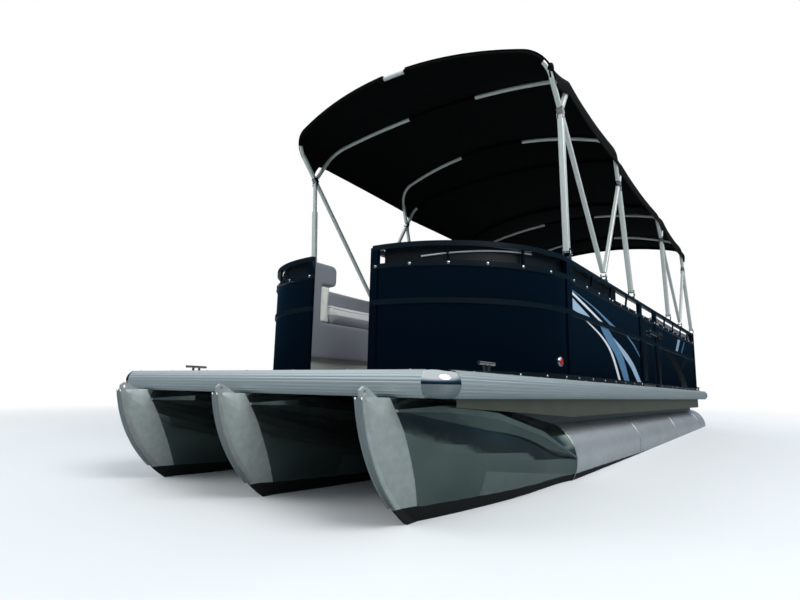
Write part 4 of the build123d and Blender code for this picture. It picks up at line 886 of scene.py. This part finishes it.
# Fence graphics: stripes on the port side, repeated on the starboard side
def smoothLine(points, steps=10):
    # Catmull-Rom through points in a plane
    grown = [points[0]] + list(points) + [points[-1]]
    line = []
    for i in range(1, len(grown) - 2):
        a, b, c, d = (Vector(grown[k]) for k in (i - 1, i, i + 1, i + 2))
        square, cube = 2 * a - 5 * b + 4 * c - d, 3 * b - a - 3 * c + d
        for t in (k / steps for k in range(steps)):
            line.append(0.5 * (2 * b + (c - a) * t + square * t ** 2 + cube * t ** 3))
    line.append(Vector(points[-1]))
    return line


def pointAlong(line, share):
    place = share * (len(line) - 1)
    first = int(place)
    return line[first].lerp(line[min(first + 1, len(line) - 1)], place - first)


lowPanel = (sillTop + 0.001, midTop - railTube - 0.001)
highPanel = (midTop + 0.001, secondTop - railTube - 0.001)
gateLowPanel = (0.838, midTop - railTube - 0.001)
stripes = [
    # name, colour, panel, then its upper and lower edge (x, z) from fore to aft
    ("fan_wedge", "stripePale", highPanel,
     [(2.03, 1.33), (1.638, 1.24)],
     [(2.03, 1.25), (1.83, 1.235)]),
    ("fan_blade", "stripeWhite", highPanel,
     [(2.03, 1.372), (1.68, 1.31), (1.30, 1.236)],
     [(2.03, 1.352), (1.70, 1.292), (1.40, 1.236)]),
    ("fan_line", "stripeBlue", highPanel,
     [(2.03, 1.384), (1.53, 1.33), (0.93, 1.236)],
     [(2.03, 1.379), (1.56, 1.322), (1.12, 1.236)]),
    ("sweep_line", "stripeWhite", lowPanel,
     [(1.73, 1.21), (1.354, 1.132), (1.085, 1.019), (0.874, 0.812)],
     [(1.76, 1.206), (1.386, 1.12), (1.137, 1.007), (0.94, 0.812)]),
    ("sweep_band", "stripeBlue", lowPanel,
     [(1.20, 1.21), (1.0, 1.124), (0.77, 1.01), (0.59, 0.812)],
     [(1.42, 1.21), (1.234, 1.107), (0.987, 0.998), (0.765, 0.812)]),
    ("sweep_blade", "stripePale", lowPanel,
     [(1.05, 1.15), (0.65, 1.053), (0.382, 0.953), (0.15, 0.812)],
     [(1.05, 1.147), (0.78, 1.031), (0.53, 0.937), (0.30, 0.812)]),
    ("sweep_hair", "stripeBlue", lowPanel,
     [(0.583, 1.206), (0.345, 1.142), (0.165, 1.06)],
     [(0.64, 1.206), (0.389, 1.133), (0.165, 1.045)]),
    ("aft_blade", "stripePale", highPanel,
     [(-2.10, 1.40), (-1.86, 1.236)],
     [(-1.93, 1.40), (-1.72, 1.236)]),
    ("aft_line", "stripeBlue", highPanel,
     [(-2.44, 1.40), (-2.16, 1.236)],
     [(-2.37, 1.40), (-2.10, 1.236)]),
    ("aft_arch", "stripeDark", lowPanel,
     [(-1.0, 1.208), (-1.62, 1.15), (-2.15, 0.99), (-2.46, 0.812)],
     [(-0.94, 1.198), (-1.36, 1.095), (-1.82, 0.95), (-2.04, 0.812)]),
    ("aft_hook", "stripeDark", lowPanel,
     [(-2.06, 1.04), (-2.16, 1.125), (-2.48, 1.195), (-3.14, 1.206)],
     [(-2.17, 1.03), (-2.32, 1.105), (-2.62, 1.16), (-3.14, 1.18)]),
]
decalLift = 0.0009
decalOut = skinOut + decalLift
fenceBands = [(0.069, 0.13), (-0.8, -0.612)]
gateBands = [(-0.15, 0.058), (-0.6, -0.5)]
groups = {}
for name, colour, (panelLow, panelHigh), upper, lower in stripes:
    edges = [smoothLine(upper), smoothLine(lower)]
    count = 2 * max(len(edge) for edge in edges)
    for side in (1, -1):
        rows = []
        for edge in edges:
            points = [pointAlong(edge, k / count) for k in range(count + 1)]
            rows.append([(x, side * decalOut, min(panelHigh, max(panelLow, z))) for x, z in points])
        groups.setdefault(colour, Parts()).sheet(rows, flip=side > 0)
groups["bandBlack"] = Parts()
for side in (1, -1):
    for low, high in fenceBands:
        for levels in (lowPanel, highPanel):
            rows = [[(x, side * decalOut, z) for x in (low, high)] for z in levels]
            groups["bandBlack"].sheet(rows, flip=side > 0)
gateStripes = Parts()
for low, high in gateBands:
    for levels in (gateLowPanel, highPanel):
        gateStripes.sheet([[(x, decalOut, z) for x in (low, high)] for z in levels], flip=True)
gateStripes.make("gate_side_bands", "bandBlack", "side_gate", smooth=False, slot="fence_paint")
for colour, group in groups.items():
    group.make("decal_" + colour, colour, smooth=False, slot="fence_paint")
print("stage: stripes")


# Snaps and bolt heads: one tree stands a dome on each point, along that point's own direction
def studTree():
    tree = bpy.data.node_groups.new("stud_rows", "GeometryNodeTree")
    face = tree.interface
    face.new_socket("Geometry", in_out="INPUT", socket_type="NodeSocketGeometry")
    for name, value in (("Radius", 0.01), ("Height", 0.006)):
        face.new_socket(name, in_out="INPUT", socket_type="NodeSocketFloat").default_value = value
    face.new_socket("Sides", in_out="INPUT", socket_type="NodeSocketInt").default_value = 14
    face.new_socket("Material", in_out="INPUT", socket_type="NodeSocketMaterial")
    face.new_socket("Geometry", in_out="OUTPUT", socket_type="NodeSocketGeometry")
    make = tree.nodes.new
    link = tree.links.new
    given = make("NodeGroupInput")
    points = make("GeometryNodeMeshToPoints")
    outward = make("GeometryNodeInputNamedAttribute")
    outward.data_type = "FLOAT_VECTOR"
    outward.inputs["Name"].default_value = "outward"
    align = make("FunctionNodeAlignRotationToVector")
    align.axis = "Z"
    dome = make("GeometryNodeMeshUVSphere")
    dome.inputs["Rings"].default_value = 7
    dome.inputs["Radius"].default_value = 1
    size = make("ShaderNodeCombineXYZ")
    shape = make("GeometryNodeTransform")
    stand = make("GeometryNodeInstanceOnPoints")
    real = make("GeometryNodeRealizeInstances")
    smooth = make("GeometryNodeSetShadeSmooth")
    coat = make("GeometryNodeSetMaterial")
    out = make("NodeGroupOutput")
    link(given.outputs["Geometry"], points.inputs["Mesh"])
    link(points.outputs["Points"], stand.inputs["Points"])
    link(outward.outputs["Attribute"], align.inputs["Vector"])
    link(align.outputs["Rotation"], stand.inputs["Rotation"])
    link(given.outputs["Sides"], dome.inputs["Segments"])
    for axis, source in (("X", "Radius"), ("Y", "Radius"), ("Z", "Height")):
        link(given.outputs[source], size.inputs[axis])
    link(dome.outputs["Mesh"], shape.inputs["Geometry"])
    link(size.outputs["Vector"], shape.inputs["Scale"])
    link(shape.outputs["Geometry"], stand.inputs["Instance"])
    link(stand.outputs["Instances"], real.inputs["Geometry"])
    link(real.outputs["Geometry"], smooth.inputs["Geometry"])
    link(smooth.outputs["Geometry"], coat.inputs["Geometry"])
    link(given.outputs["Material"], coat.inputs["Material"])
    link(coat.outputs["Geometry"], out.inputs["Geometry"])
    return tree


studs = studTree()


def studRow(name, spots, radius, height, material="steel", body="boat", sides=14):
    # One mesh of domes, made plain before it rides on its body; spots are (place, direction)
    mesh = bpy.data.meshes.new(name + "_points")
    mesh.from_pydata([tuple(place) for place, direction in spots], [], [])
    outward = mesh.attributes.new("outward", "FLOAT_VECTOR", "POINT")
    outward.data.foreach_set("vector", [value for place, direction in spots for value in direction])
    base = linked(name + "_points", mesh)
    rows = base.modifiers.new("studs", "NODES")
    rows.node_group = studs
    values = {"Radius": radius, "Height": height, "Sides": sides, "Material": look[material]}
    for item in studs.interface.items_tree:
        if item.in_out == "INPUT" and item.name in values:
            rows[item.identifier] = values[item.name]
    result = bpy.data.meshes.new_from_object(base.evaluated_get(bpy.context.evaluated_depsgraph_get()))
    base.modifiers.clear()
    bpy.data.objects.remove(base)
    result.name = name
    made = linked(name, result)
    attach(made, body)
    return made


def fenceSpots(z, firstAngle, stepAngle, places):
    # Along one rail of both sides and round the bow corners
    spots = []
    for side in (1, -1):
        for x in places:
            if not (side > 0 and -0.62 < x < 0.08):
                spots.append((Vector((x, side * fenceY, z)), Vector((0, side, 0))))
        angle = firstAngle
        while angle < 89:
            outward = Vector((math.cos(math.radians(angle)), side * math.sin(math.radians(angle)), 0))
            spots.append((Vector((arcX, side * arcY, z)) + outward * bowRadius, outward))
            angle += stepAngle
    return spots


snap = dict(radius=0.0105, height=0.0062, z=secondTop - 0.016)
railPlaces = [2.0, 1.72, 1.43, 1.14, 1.05, 0.79, 0.54, 0.27]
railPlaces += [-0.72 - 0.29 * i for i in range(9)] + [-0.66]
snapSpots = fenceSpots(snap["z"], 1.5, 14.6, railPlaces)
for y in (-0.35, -0.05, 0.25, 0.55, 0.85):
    snapSpots.append((Vector((fenceAft, y, snap["z"])), Vector((-1, 0, 0))))
studRow("dome_snaps", snapSpots, snap["radius"], snap["height"])
sillSpots = fenceSpots(deckTop + 0.017, 6, 13, [1.95 - 0.3 * i for i in range(18)])
studRow("sill_screws", sillSpots, 0.008, 0.004)
gateSpots = [(Vector((x, skinOut + 0.009, snap["z"])), Vector((0, 1, 0))) for x in (-0.05, -0.3, -0.55)]
studRow("gate_snaps", gateSpots, snap["radius"], snap["height"], body="side_gate")
riserSpots = []
for place in tubePlaces:
    for side in (1, -1):
        for i in range(24):
            spot = Vector((3.2 - 0.285 * i, place + side * 0.081, 0.585))
            riserSpots.append((spot, Vector((0, side, 0))))
studRow("riser_bolts", riserSpots, 0.011, 0.006, sides=6)
rail = dict(side=1.2115, front=3.713, top=0.7795)
railSpots = []
for side in (1, -1):
    for i in range(19):
        railSpots.append((Vector((3.45 - 0.39 * i, side * rail["side"], rail["top"])), upwards))
    # One screw low on each corner casting
    railSpots.append((Vector((3.688, side * 1.188, 0.6785)), Vector((0.7, side * 0.7, -0.35)).normalized()))
for i in range(7):
    railSpots.append((Vector((rail["front"], -1.05 + 0.35 * i, rail["top"])), upwards))
studRow("rail_screws", railSpots, 0.006, 0.003)
deckSpots = []
for i in range(13):
    x = 3.6 - 0.6 * i
    for y in (-0.95, -0.48, 0.0, 0.48, 0.95):
        # None in the middle aft of the fence, where the motor well is open
        if x > fenceAft or abs(y) > 0.4:
            deckSpots.append((Vector((x, y, deckTop)), upwards))
studRow("deck_screws", deckSpots, 0.006, 0.0012, "channel")

# Side gate's pull, a bar on two posts, and its latch on the fence
pull = dict(posts=(-0.27, -0.43), half=0.012, low=1.3, high=1.335, out=0.03)
pullBar = dict(aft=-0.5, fore=-0.2, low=1.297, high=1.34, near=0.022, far=0.036)
latchSizes = dict(
    case=[(-0.79, -0.012, 1.29), (-0.70, 0.012, 1.37)], tongue=[(-0.70, 0, 1.32), (-0.63, 0.01, 1.34)],
    knob=(-0.745, 0.01, 1.33), turned=[(0, 0.022), (0.014, 0.022), (0.02, 0.016), (0.021, 0)],
)
pulls, latch = Parts(), Parts()
for x in pull["posts"]:
    low = (x - pull["half"], skinOut, pull["low"])
    pulls.box(low, (x + pull["half"], skinOut + pull["out"], pull["high"]))
low = (pullBar["aft"], skinOut + pullBar["near"], pullBar["low"])
pulls.box(low, (pullBar["fore"], skinOut + pullBar["far"], pullBar["high"]))
pulls.make("gate_side_pull", "steel", "side_gate", slot="fitting_metal", bevel=0.005)
onFence = Vector((0, fenceY, 0))
latch.box(*(onFence + Vector(corner) for corner in latchSizes["case"]))
latch.disc(onFence + Vector(latchSizes["knob"]), (0, 1, 0), latchSizes["turned"], 20)
latch.box(*(onFence + Vector(corner) for corner in latchSizes["tongue"]))
latch.make("gate_side_latch", "rubber", slot="fitting_metal", bevel=0.003)

# Lamps: one in each bow corner, and the white one on its mast at the stern
lampSizes = dict(
    angle=math.radians(80), above=0.11,
    bezel=[(0, 0.031), (0.004, 0.031), (0.009, 0.027), (0.0095, 0.021), (0.002, 0.0205)],
    lens=[(0.0, 0.0205), (0.009, 0.0205), (0.0135, 0.015), (0.0143, 0.0)],
    mast=[(0, 0.026), (0.006, 0.026), (0.012, 0.014), (0.04, 0.0105), (0.262, 0.009)],
    base=[(0, 0.0235), (0.008, 0.0235), (0.012, 0.02)],
    cap=[(0, 0.0235), (0.010, 0.0225), (0.014, 0.0)],
    globe=[(0, 0.019), (0.008, 0.0225), (0.026, 0.0225), (0.034, 0.0195)],
)
for side, colour, name in ((1, "red", "lamp_port"), (-1, "green", "lamp_starboard")):
    outward = Vector((math.cos(lampSizes["angle"]), side * math.sin(lampSizes["angle"]), 0))
    place = Vector((arcX, side * arcY, deckTop + lampSizes["above"])) + outward * skinRadius
    bezel, lens = Parts(), Parts()
    bezel.disc(place, outward, lampSizes["bezel"], 32)
    bezel.make(name + "_bezel", "steel", slot="lamp_case")
    lens.disc(place, outward, lampSizes["lens"], 28)
    lens.make(name + "_lens", colour, slot="lamp_case")
mast, globe = Parts(), Parts()
mastFoot = Vector((fenceAft + 0.016, 0, fenceTop))
mast.disc(mastFoot, upwards, lampSizes["mast"], 20)
mast.disc(mastFoot + upwards * 0.26, upwards, lampSizes["base"], 24)
mast.disc(mastFoot + upwards * 0.306, upwards, lampSizes["cap"], 24)
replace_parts(mast.make("stern_lamp_mast", "steel", slot="lamp_case"), "lamps")
globe.disc(mastFoot + upwards * 0.272, upwards, lampSizes["globe"], 24)
globe.make("stern_lamp_globe", "white", slot="lamp_case")


# Fittings of the tops: hinge feet on the rail, split collars on the legs and slotted pole feet
fittings, pins = Parts(), Parts()
half = dict(leg=0.0165, pole=0.0215, plate=0.0245)
hinge = dict(plate=0.04, thick=0.006, ear=0.018, earThick=0.004, gap=0.001, top=0.052, pin=0.035)
collar = dict(long=0.021, wide=0.0205, high=0.027, thick=0.004, gap=0.0005, jaw=0.011, jawThick=0.003)
shoe = dict(plate=0.036, thick=0.005, ear=0.017, earThick=0.0035, gap=0.0005, top=0.068, pin=0.046)
pinRing = [(0, 0.0275, 0.046), (0.012, 0.031, 0.03), (0, 0.032, 0.014), (-0.012, 0.031, 0.03)]


def railFoot(x, y, size, inside):
    # Plate on the rail with two ears
    long, wide = size["plate"], half["plate"]
    fittings.box((x - long, y - wide, fenceTop), (x + long, y + wide, fenceTop + size["thick"]))
    low, high = fenceTop + size["thick"] - 0.002, fenceTop + size["top"]
    fittings.cheeks((x, y), inside + size["gap"], size["earThick"], size["ear"], low, high)


def crossPin(place, long, radius):
    pins.disc(Vector(place) - Vector((0, long / 2, 0)), (0, 1, 0), [(0, radius), (long, radius)], 12)


for key, top in topPlaces.items():
    for side in (1, -1):
        y = side * span
        x = top["foot"][0]
        railFoot(x, y, hinge, half["leg"])
        crossPin((x, y, fenceTop + hinge["pin"]), 0.052, 0.007)
        for (point, poleX), (legFoot, legHead) in zip(knuckles[key], (bows[key][0], bows[key][3])):
            # Collar clamped round the leg, with two jaws on the pole's end
            along = Vector((legHead[0] - legFoot[0], 0, legHead[1] - legFoot[1])).normalized()
            level = Vector((along.z, 0, -along.x))
            turn = Matrix((level, Vector((0, 1, 0)), along)).transposed()
            centre = Vector((point[0], y, point[1]))
            long, wide, high = collar["long"], collar["wide"], collar["high"]
            inner = half["leg"] + collar["gap"]
            for ear in (-1, 1):
                near, far = sorted((ear * inner, ear * (inner + collar["thick"])))
                fittings.box((-long, near, -high), (long, far, high), turn, centre)
                fittings.box((near, -wide, -high), (far, wide, high), turn, centre)
            jawLow, jawHigh = centre.z - 0.058, centre.z - 0.012
            jawGap = half["pole"] + collar["gap"]
            fittings.cheeks((centre.x, y), jawGap, collar["jawThick"], collar["jaw"], jawLow, jawHigh)
            crossPin((centre.x, y, centre.z - 0.042), 0.053, 0.006)
            # Foot with two slotted cheeks and a quick-release pin
            railFoot(poleX, y, shoe, half["pole"])
            crossPin((poleX, y, fenceTop + shoe["pin"]), 0.055, 0.006)
            ring = [(poleX + x, y + side * out, fenceTop + up) for x, out, up in pinRing]
            pins.tube(ring, 0.0014, 6, closed=True)
made = fittings.make("top_hinges_and_collars", "steel", slot="fitting_metal", bevel=0.0012, segments=1)
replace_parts(made, "top_fittings")
pins.make("top_pins", "steel", slot="fitting_metal")

# Weld seams round the tubes and beads along the stems
weld = dict(out=0.0006, seam=0.0032, bead=0.0042, half=0.0172, low=0.2, high=0.661)
hull = dict(tubeZ=0.27, tubeRadius=0.24, sweepX=3.1462, sweep=0.766)
circle = [math.radians(angle) for angle in range(0, 360, 6)]
seamRadius, sweepRadius = hull["tubeRadius"] + weld["out"], hull["sweep"] + weld["out"]
stemLow, stemHigh = (math.asin((z - hull["sweep"]) / hull["sweep"]) for z in (weld["low"], weld["high"]))
stemTurns = np.linspace(stemLow, stemHigh, 36)
section = [(seamRadius * math.cos(a), seamRadius * math.sin(a)) for a in circle]
sweepX, sweepZ = hull["sweepX"], hull["sweep"]
stem = [(sweepX + sweepRadius * math.cos(a), sweepZ + sweepRadius * math.sin(a)) for a in stemTurns]
welds = Parts()
for place in tubePlaces:
    for x in (1.998, 0.25, -1.54, -3.33):
        seam = [(x, place + across, hull["tubeZ"] + up) for across, up in section]
        welds.tube(seam, weld["seam"], 6, closed=True)
    # Above the bottom paint each stem has a ground edge between two beads
    beads = [[(x, place + side * weld["half"], z) for x, z in stem] for side in (1, -1)]
    for bead in beads:
        welds.tube(bead, weld["bead"], 6)
    welds.sheet(beads, flip=True)
welds.make("hull_welds", "weld", slot="hull_metal")
print("stage: fittings")


# Console, windscreen and helm
def softened(name, node, voxel, passes, material, body="boat", factor=0.5, share=0.35):
    # A rounded copy of a CAD node's outer form, with a share of its faces, that stands in for it
    mesh = nodes[node].data.copy()
    mesh.name = name
    mesh.materials.clear()
    mesh.materials.append(look[material])
    made = linked(name, mesh)
    evenSkin(made, voxel, factor, passes)
    fewer = made.modifiers.new("fewer", "DECIMATE")
    fewer.ratio = share
    applyModifiers(made)
    made.data.shade_smooth()
    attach(made, body)
    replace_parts(made, node)
    return made


softened("console_moulding", "helm_console", 0.009, 6, "console")
dash = dict(
    low=Vector((-0.27, 0, 1.4)), high=Vector((-0.062, 0, 1.56)), y=-0.8025, inboard=-0.47, outboard=-1.135,
    # Gauges: along the dash, across, radius
    gauges=[
        (0.07, -0.98, 0.042), (0.07, -0.63, 0.042), (0.075, -0.8025, 0.034),
        (-0.03, -1.05, 0.026), (-0.03, -0.56, 0.026),
    ],
)
dashAlong = (dash["high"] - dash["low"]).normalized()
dashOut = Vector((-dashAlong.z, 0, dashAlong.x))
dashMiddle = (dash["low"] + dash["high"]) / 2
dashTurn = Matrix((dashAlong, Vector((0, 1, 0)), dashOut)).transposed()


def onDash(along, y, out=0.0):
    return dashMiddle + dashAlong * along + dashOut * out + Vector((0, y, 0))


def dashRay(angle):
    # Direction in the dash's plane, from the port side upwards
    return Vector((0, math.cos(angle), 0)) + dashAlong * math.sin(angle)


# Bezel, black face, eleven marks and a hand
gauges, bezels, marks = Parts(), Parts(), Parts()
for along, y, radius in dash["gauges"]:
    centre = onDash(along, y, -0.002)
    edge = [(0, radius + 0.005), (0.008, radius + 0.005), (0.011, radius + 0.001), (0.0045, radius)]
    bezels.disc(centre, dashOut, edge, 32)
    gauges.disc(centre, dashOut, [(0, radius), (0.006, radius), (0.0062, 0)], 32)
    face, hand = centre + dashOut * 0.0066, centre + dashOut * 0.0072
    for k in range(11):
        ray = dashRay(math.radians(-40 + 26 * k)) * radius
        marks.tube([face + ray * 0.78, face + ray * 0.92], 0.0007, 5)
    marks.tube([hand, hand + dashRay(2.3) * radius * 0.7], 0.001, 5)
gauges.make("gauge_faces", "dial", slot="console_shell")
bezels.make("gauge_bezels", "steel", slot="console_shell")
marks.make("gauge_marks", "white", slot="console_shell")

# Switches, and the throttle's box, lever and grip on the outboard side of the dash
switchRow = dict(
    along=-0.085, first=-0.64, step=0.034, count=6,
    low=(-0.014, -0.011, -0.002), high=(0.014, 0.011, 0.006),
)
# Lever and grip are given as (out, shift) from the base
throttle = dict(
    along=-0.02, y=-1.09, low=(-0.06, -0.026, -0.004), high=(0.06, 0.026, 0.04),
    lever=[(0.03, (0, 0.03, 0)), (0.09, (0.01, 0.033, 0.03)), (0.13, (0.03, 0.033, 0.05))],
    grip=[(0.13, (0.03, 0.04, 0.05)), (0.13, (0.03, -0.03, 0.05))],
)
switches, lever, grip = Parts(), Parts(), Parts()
for k in range(switchRow["count"]):
    centre = onDash(switchRow["along"], switchRow["first"] + switchRow["step"] * k)
    switches.box(switchRow["low"], switchRow["high"], dashTurn, centre)
base = onDash(throttle["along"], throttle["y"])
switches.box(throttle["low"], throttle["high"], dashTurn, base)
switches.make("dash_switches_and_throttle_box", "dial", slot="console_shell", bevel=0.003)
lever.tube([base + dashOut * out + Vector(shift) for out, shift in throttle["lever"]], 0.006, 10)
lever.make("throttle_lever", "steel", slot="console_shell")
grip.tube([base + dashOut * out + Vector(shift) for out, shift in throttle["grip"]], 0.013, 14)
grip.make("throttle_grip", "rubber", slot="console_shell")

# Windscreen's edging, over its top and down both sides
screen = dict(foot=(0.193, 1.64), head=(0.133, 1.94), over=0.004, radius=0.006)
edging = Parts()
port, starboard = dash["inboard"] - screen["over"], dash["outboard"] + screen["over"]
corners = [("foot", port), ("head", port), ("head", starboard), ("foot", starboard)]
edging.tube([(screen[end][0], y, screen[end][1]) for end, y in corners], screen["radius"], 10)
edging.make("windscreen_edging", "tube", slot="screen")

# Wheel: padded rim, three plain spokes, a cap and the shaft behind it
wheel = dict(
    out=0.09, radius=0.17, rim=0.0138,
    cap=[(0, 0.042), (0.024, 0.042), (0.028, 0.036), (0.028, 0)], capBack=0.014,
    spokes=(-90, -210, -330), spokeLow=(0.03, -0.012, -0.003), spokeHigh=(0.162, 0.012, 0.003),
    shaft=[(0, 0.018), (0.08, 0.018)], shaftBack=0.0896,
)
rim, spokes = Parts(), Parts()
hub = onDash(0, dash["y"], wheel["out"])
ring = [hub + (dashAlong * math.cos(a) + Vector((0, math.sin(a), 0))) * wheel["radius"] for a in circle]
rim.tube(ring, wheel["rim"], 14, closed=True)
rim.disc(hub - dashOut * wheel["capBack"], dashOut, wheel["cap"], 28)
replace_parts(rim.make("wheel_rim", "rubber", "helm_wheel", slot="fitting_metal"), "steering_wheel")
for angle in wheel["spokes"]:
    reach = dashRay(math.radians(angle))
    turn = Matrix((reach, dashOut.cross(reach), dashOut)).transposed()
    spokes.box(wheel["spokeLow"], wheel["spokeHigh"], turn, hub)
spokes.disc(hub - dashOut * wheel["shaftBack"], dashOut, wheel["shaft"], 20)
spokes.make("wheel_spokes", "steel", "helm_wheel", slot="fitting_metal", bevel=0.0015)

# Moulded bases with rounded edges
softened("lounge_bases", "bow_bases", 0.011, 3, "shell")
softened("stern_bench_base", "stern_base", 0.011, 3, "shell")

# Outboard: rounded hood, leg and clamp, then a seal, a band and air louvres on the hood
softened("motor_hood", "motor_cowl", 0.011, 9, "motor", "motor")
softened("motor_gearcase_and_leg", "motor_leg", 0.0055, 3, "motorGrey", "motor", 0.4)
softened("motor_clamp_casting", "motor_clamp", 0.004, 3, "motorGrey", factor=0.4)
outboard = dict(
    pivot=Vector((-3.78, 0, 0.64)), tilt=math.radians(62), x=-3.99,
    # Rings of the hood: long, wide, corner and, for the seal, its level
    seal=(0.452, 0.335, 0.113, 0.866), band=(0.4735, 0.357, 0.1275), bandLevels=(0.93, 1.0),
    louvres=5, louvreLow=1.04, louvreStep=0.014, louvreEnds=[(-4.12, 0.1725), (-4.02, 0.1765)],
)


def leaned(x, y, z):
    # From the motor's upright frame to its tilted rest
    pivot, cosine, sine = outboard["pivot"], math.cos(outboard["tilt"]), math.sin(outboard["tilt"])
    dx, dz = x - pivot.x, z - pivot.z
    return Vector((pivot.x + dx * cosine + dz * sine, y, pivot.z - dx * sine + dz * cosine))


def hoodRing(long, wide, corner, z):
    low, high = (outboard["x"] - long / 2, -wide / 2), (outboard["x"] + long / 2, wide / 2)
    return [leaned(x, y, z) for x, y in rectangle(low, high, corner, 6)]


seal, band, louvres = Parts(), Parts(), Parts()
seal.tube(hoodRing(*outboard["seal"]), 0.005, 8, closed=True)
seal.make("motor_hood_seal", "rubber", "motor", slot="motor_paint")
rings = [hoodRing(*outboard["band"], z) for z in outboard["bandLevels"]]
band.sheet([ring + ring[:1] for ring in rings])
band.make("motor_hood_band", "motorGrey", "motor", slot="motor_paint")
for k in range(outboard["louvres"]):
    z = outboard["louvreLow"] + outboard["louvreStep"] * k
    for side in (1, -1):
        louvres.tube([leaned(x, side * y, z) for x, y in outboard["louvreEnds"]], 0.0035, 8)
louvres.make("motor_air_louvres", "rubber", "motor", slot="motor_paint")

# Ladder treads: rubber on each of three steps
tread = dict(first=-3.689, step=0.195, y=-0.82, half=0.15, deep=0.022, low=0.81, high=0.8125)
treads = Parts()
for k in range(3):
    x = tread["first"] + k * tread["step"]
    low = (x - tread["deep"], tread["y"] - tread["half"], tread["low"])
    treads.box(low, (x + tread["deep"], tread["y"] + tread["half"], tread["high"]))
treads.make("ladder_treads", "rubber", "ladder", slot="fitting_metal", bevel=0.001)
print("stage: helm and motor")


# Camera, light and floor
# Photo's camera: place, turn and focal length in pixels of an 800 wide frame
photo = dict(
    eye=Vector((5.597, 2.363, 0.691)), yaw=math.radians(216.064), pitch=math.radians(9.435),
    roll=math.radians(1.289), focal=544.98, wide=800,
)
yaw, pitch, roll = photo["yaw"], photo["pitch"], photo["roll"]
ahead = Vector((math.cos(yaw) * math.cos(pitch), math.sin(yaw) * math.cos(pitch), math.sin(pitch)))
level = ahead.cross(upwards).normalized()
right = level * math.cos(roll) + level.cross(ahead) * math.sin(roll)
above = level.cross(ahead) * math.cos(roll) - level * math.sin(roll)
cameraData = bpy.data.cameras.new("camera")
cameraData.lens = photo["focal"] / photo["wide"] * cameraData.sensor_width
camera = linked("camera", cameraData)
turn = Matrix((right, above, -ahead)).transposed()
camera.matrix_world = Matrix.Translation(photo["eye"]) @ turn.to_4x4()
bpy.context.scene.camera = camera
bpy.context.scene.view_settings.view_transform = "Standard"

# The floor lies at the waterline, which slopes a little because the boat trims bow up
water = dict(middle=0.187, slope=-0.01947, half=60, fadeStart=5.0, fadeEnd=11.0)
corners = rectangle((-water["half"], -water["half"]), (water["half"], water["half"]))
floorMesh = bpy.data.meshes.new("floor")
floorMesh.from_pydata([(x, y, water["middle"] + water["slope"] * x) for x, y in corners], [], [(0, 1, 2, 3)])
floor = linked("floor", floorMesh)
floorLook = newMaterial("studio_floor_pale", "#d5d7d8", 0.6)
tree, shader, coords = parts(floorLook)
path = addNode(tree, "LightPath")
spot = addNode(tree, "SeparateXYZ", None, Vector=coords)
squares = [times(tree, spot.outputs[axis], spot.outputs[axis]) for axis in ("X", "Y")]
away = math2(tree, "SQRT", math2(tree, "ADD", *squares))
# Far off the floor turns into the backdrop, and reflections see it darker
fading = ramp(tree, away, water["fadeStart"], water["fadeEnd"])
faded = times(tree, fading, path.outputs["Is Camera Ray"])
unseen = mixColour(tree, path.outputs["Is Glossy Ray"], rgb("#c4c8ca"), rgb("#626d70"))
tint = mixColour(tree, path.outputs["Is Camera Ray"], unseen, rgb("#eceeef"))
tree.links.new(tint, shader.inputs["Base Color"])
backdrop = addNode(tree, "Emission", None, Color=rgb("#ffffff"), Strength=1.0)
mixed = addNode(tree, "MixShader", None, i0=faded, i1=shader.outputs[0], i2=backdrop.outputs[0])
tree.links.new(mixed.outputs[0], tree.nodes["Material Output"].inputs["Surface"])
floorMesh.materials.append(floorLook)
floor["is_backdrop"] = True

# Soft studio sky: dark near the horizon so that bright metal keeps contrast, white to the camera
world = bpy.data.worlds.new("studio")
bpy.context.scene.world = world
world.use_nodes = True
tree = world.node_tree
tree.nodes.clear()
path = addNode(tree, "LightPath")
seen = math2(tree, "MAXIMUM", path.outputs["Is Camera Ray"], path.outputs["Is Transmission Ray"])
direction = addNode(tree, "TexCoord").outputs["Generated"]
height = addNode(tree, "SeparateXYZ", None, Vector=direction).outputs["Z"]
# Mirrors see a dark shoreline, a deep blue band and a bright top
sky = mixColour(tree, ramp(tree, height, 0.0, 0.32), rgb("#05090d"), rgb("#2d4a63"))
sky = mixColour(tree, ramp(tree, height, 0.3, 0.62), sky, rgb("#f6f9fc"))
sky = mixColour(tree, path.outputs["Is Glossy Ray"], rgb("#c3cbd2"), sky)
ambient = addNode(tree, "Background", None, Color=sky, Strength=1.0)
bright = addNode(tree, "Background", None, Color=rgb("#ffffff"), Strength=1.0)
shown = addNode(tree, "MixShader", None, i0=seen, i1=ambient.outputs[0], i2=bright.outputs[0])
addNode(tree, "OutputWorld", None, Surface=shown.outputs[0])


def lamp(name, place, size, power, inMirrors):
    # A round soft light that faces the middle of the boat
    data = bpy.data.lights.new(name, "AREA")
    data.shape = "DISK"
    data.size = size
    data.energy = power
    made = linked(name, data)
    made.location = place
    made.rotation_mode = "QUATERNION"
    made.rotation_quaternion = (upwards - Vector(place)).to_track_quat("-Z", "Y")
    made.visible_glossy = inMirrors
    return made


lamp("key", (5, 9, 10), 8, 1100, True)
lamp("fill", (9, -5, 4), 5, 260, False)
lamp("back", (-9, 5, 7), 5, 300, False)
print("stage: camera, light and floor")

low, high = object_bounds()
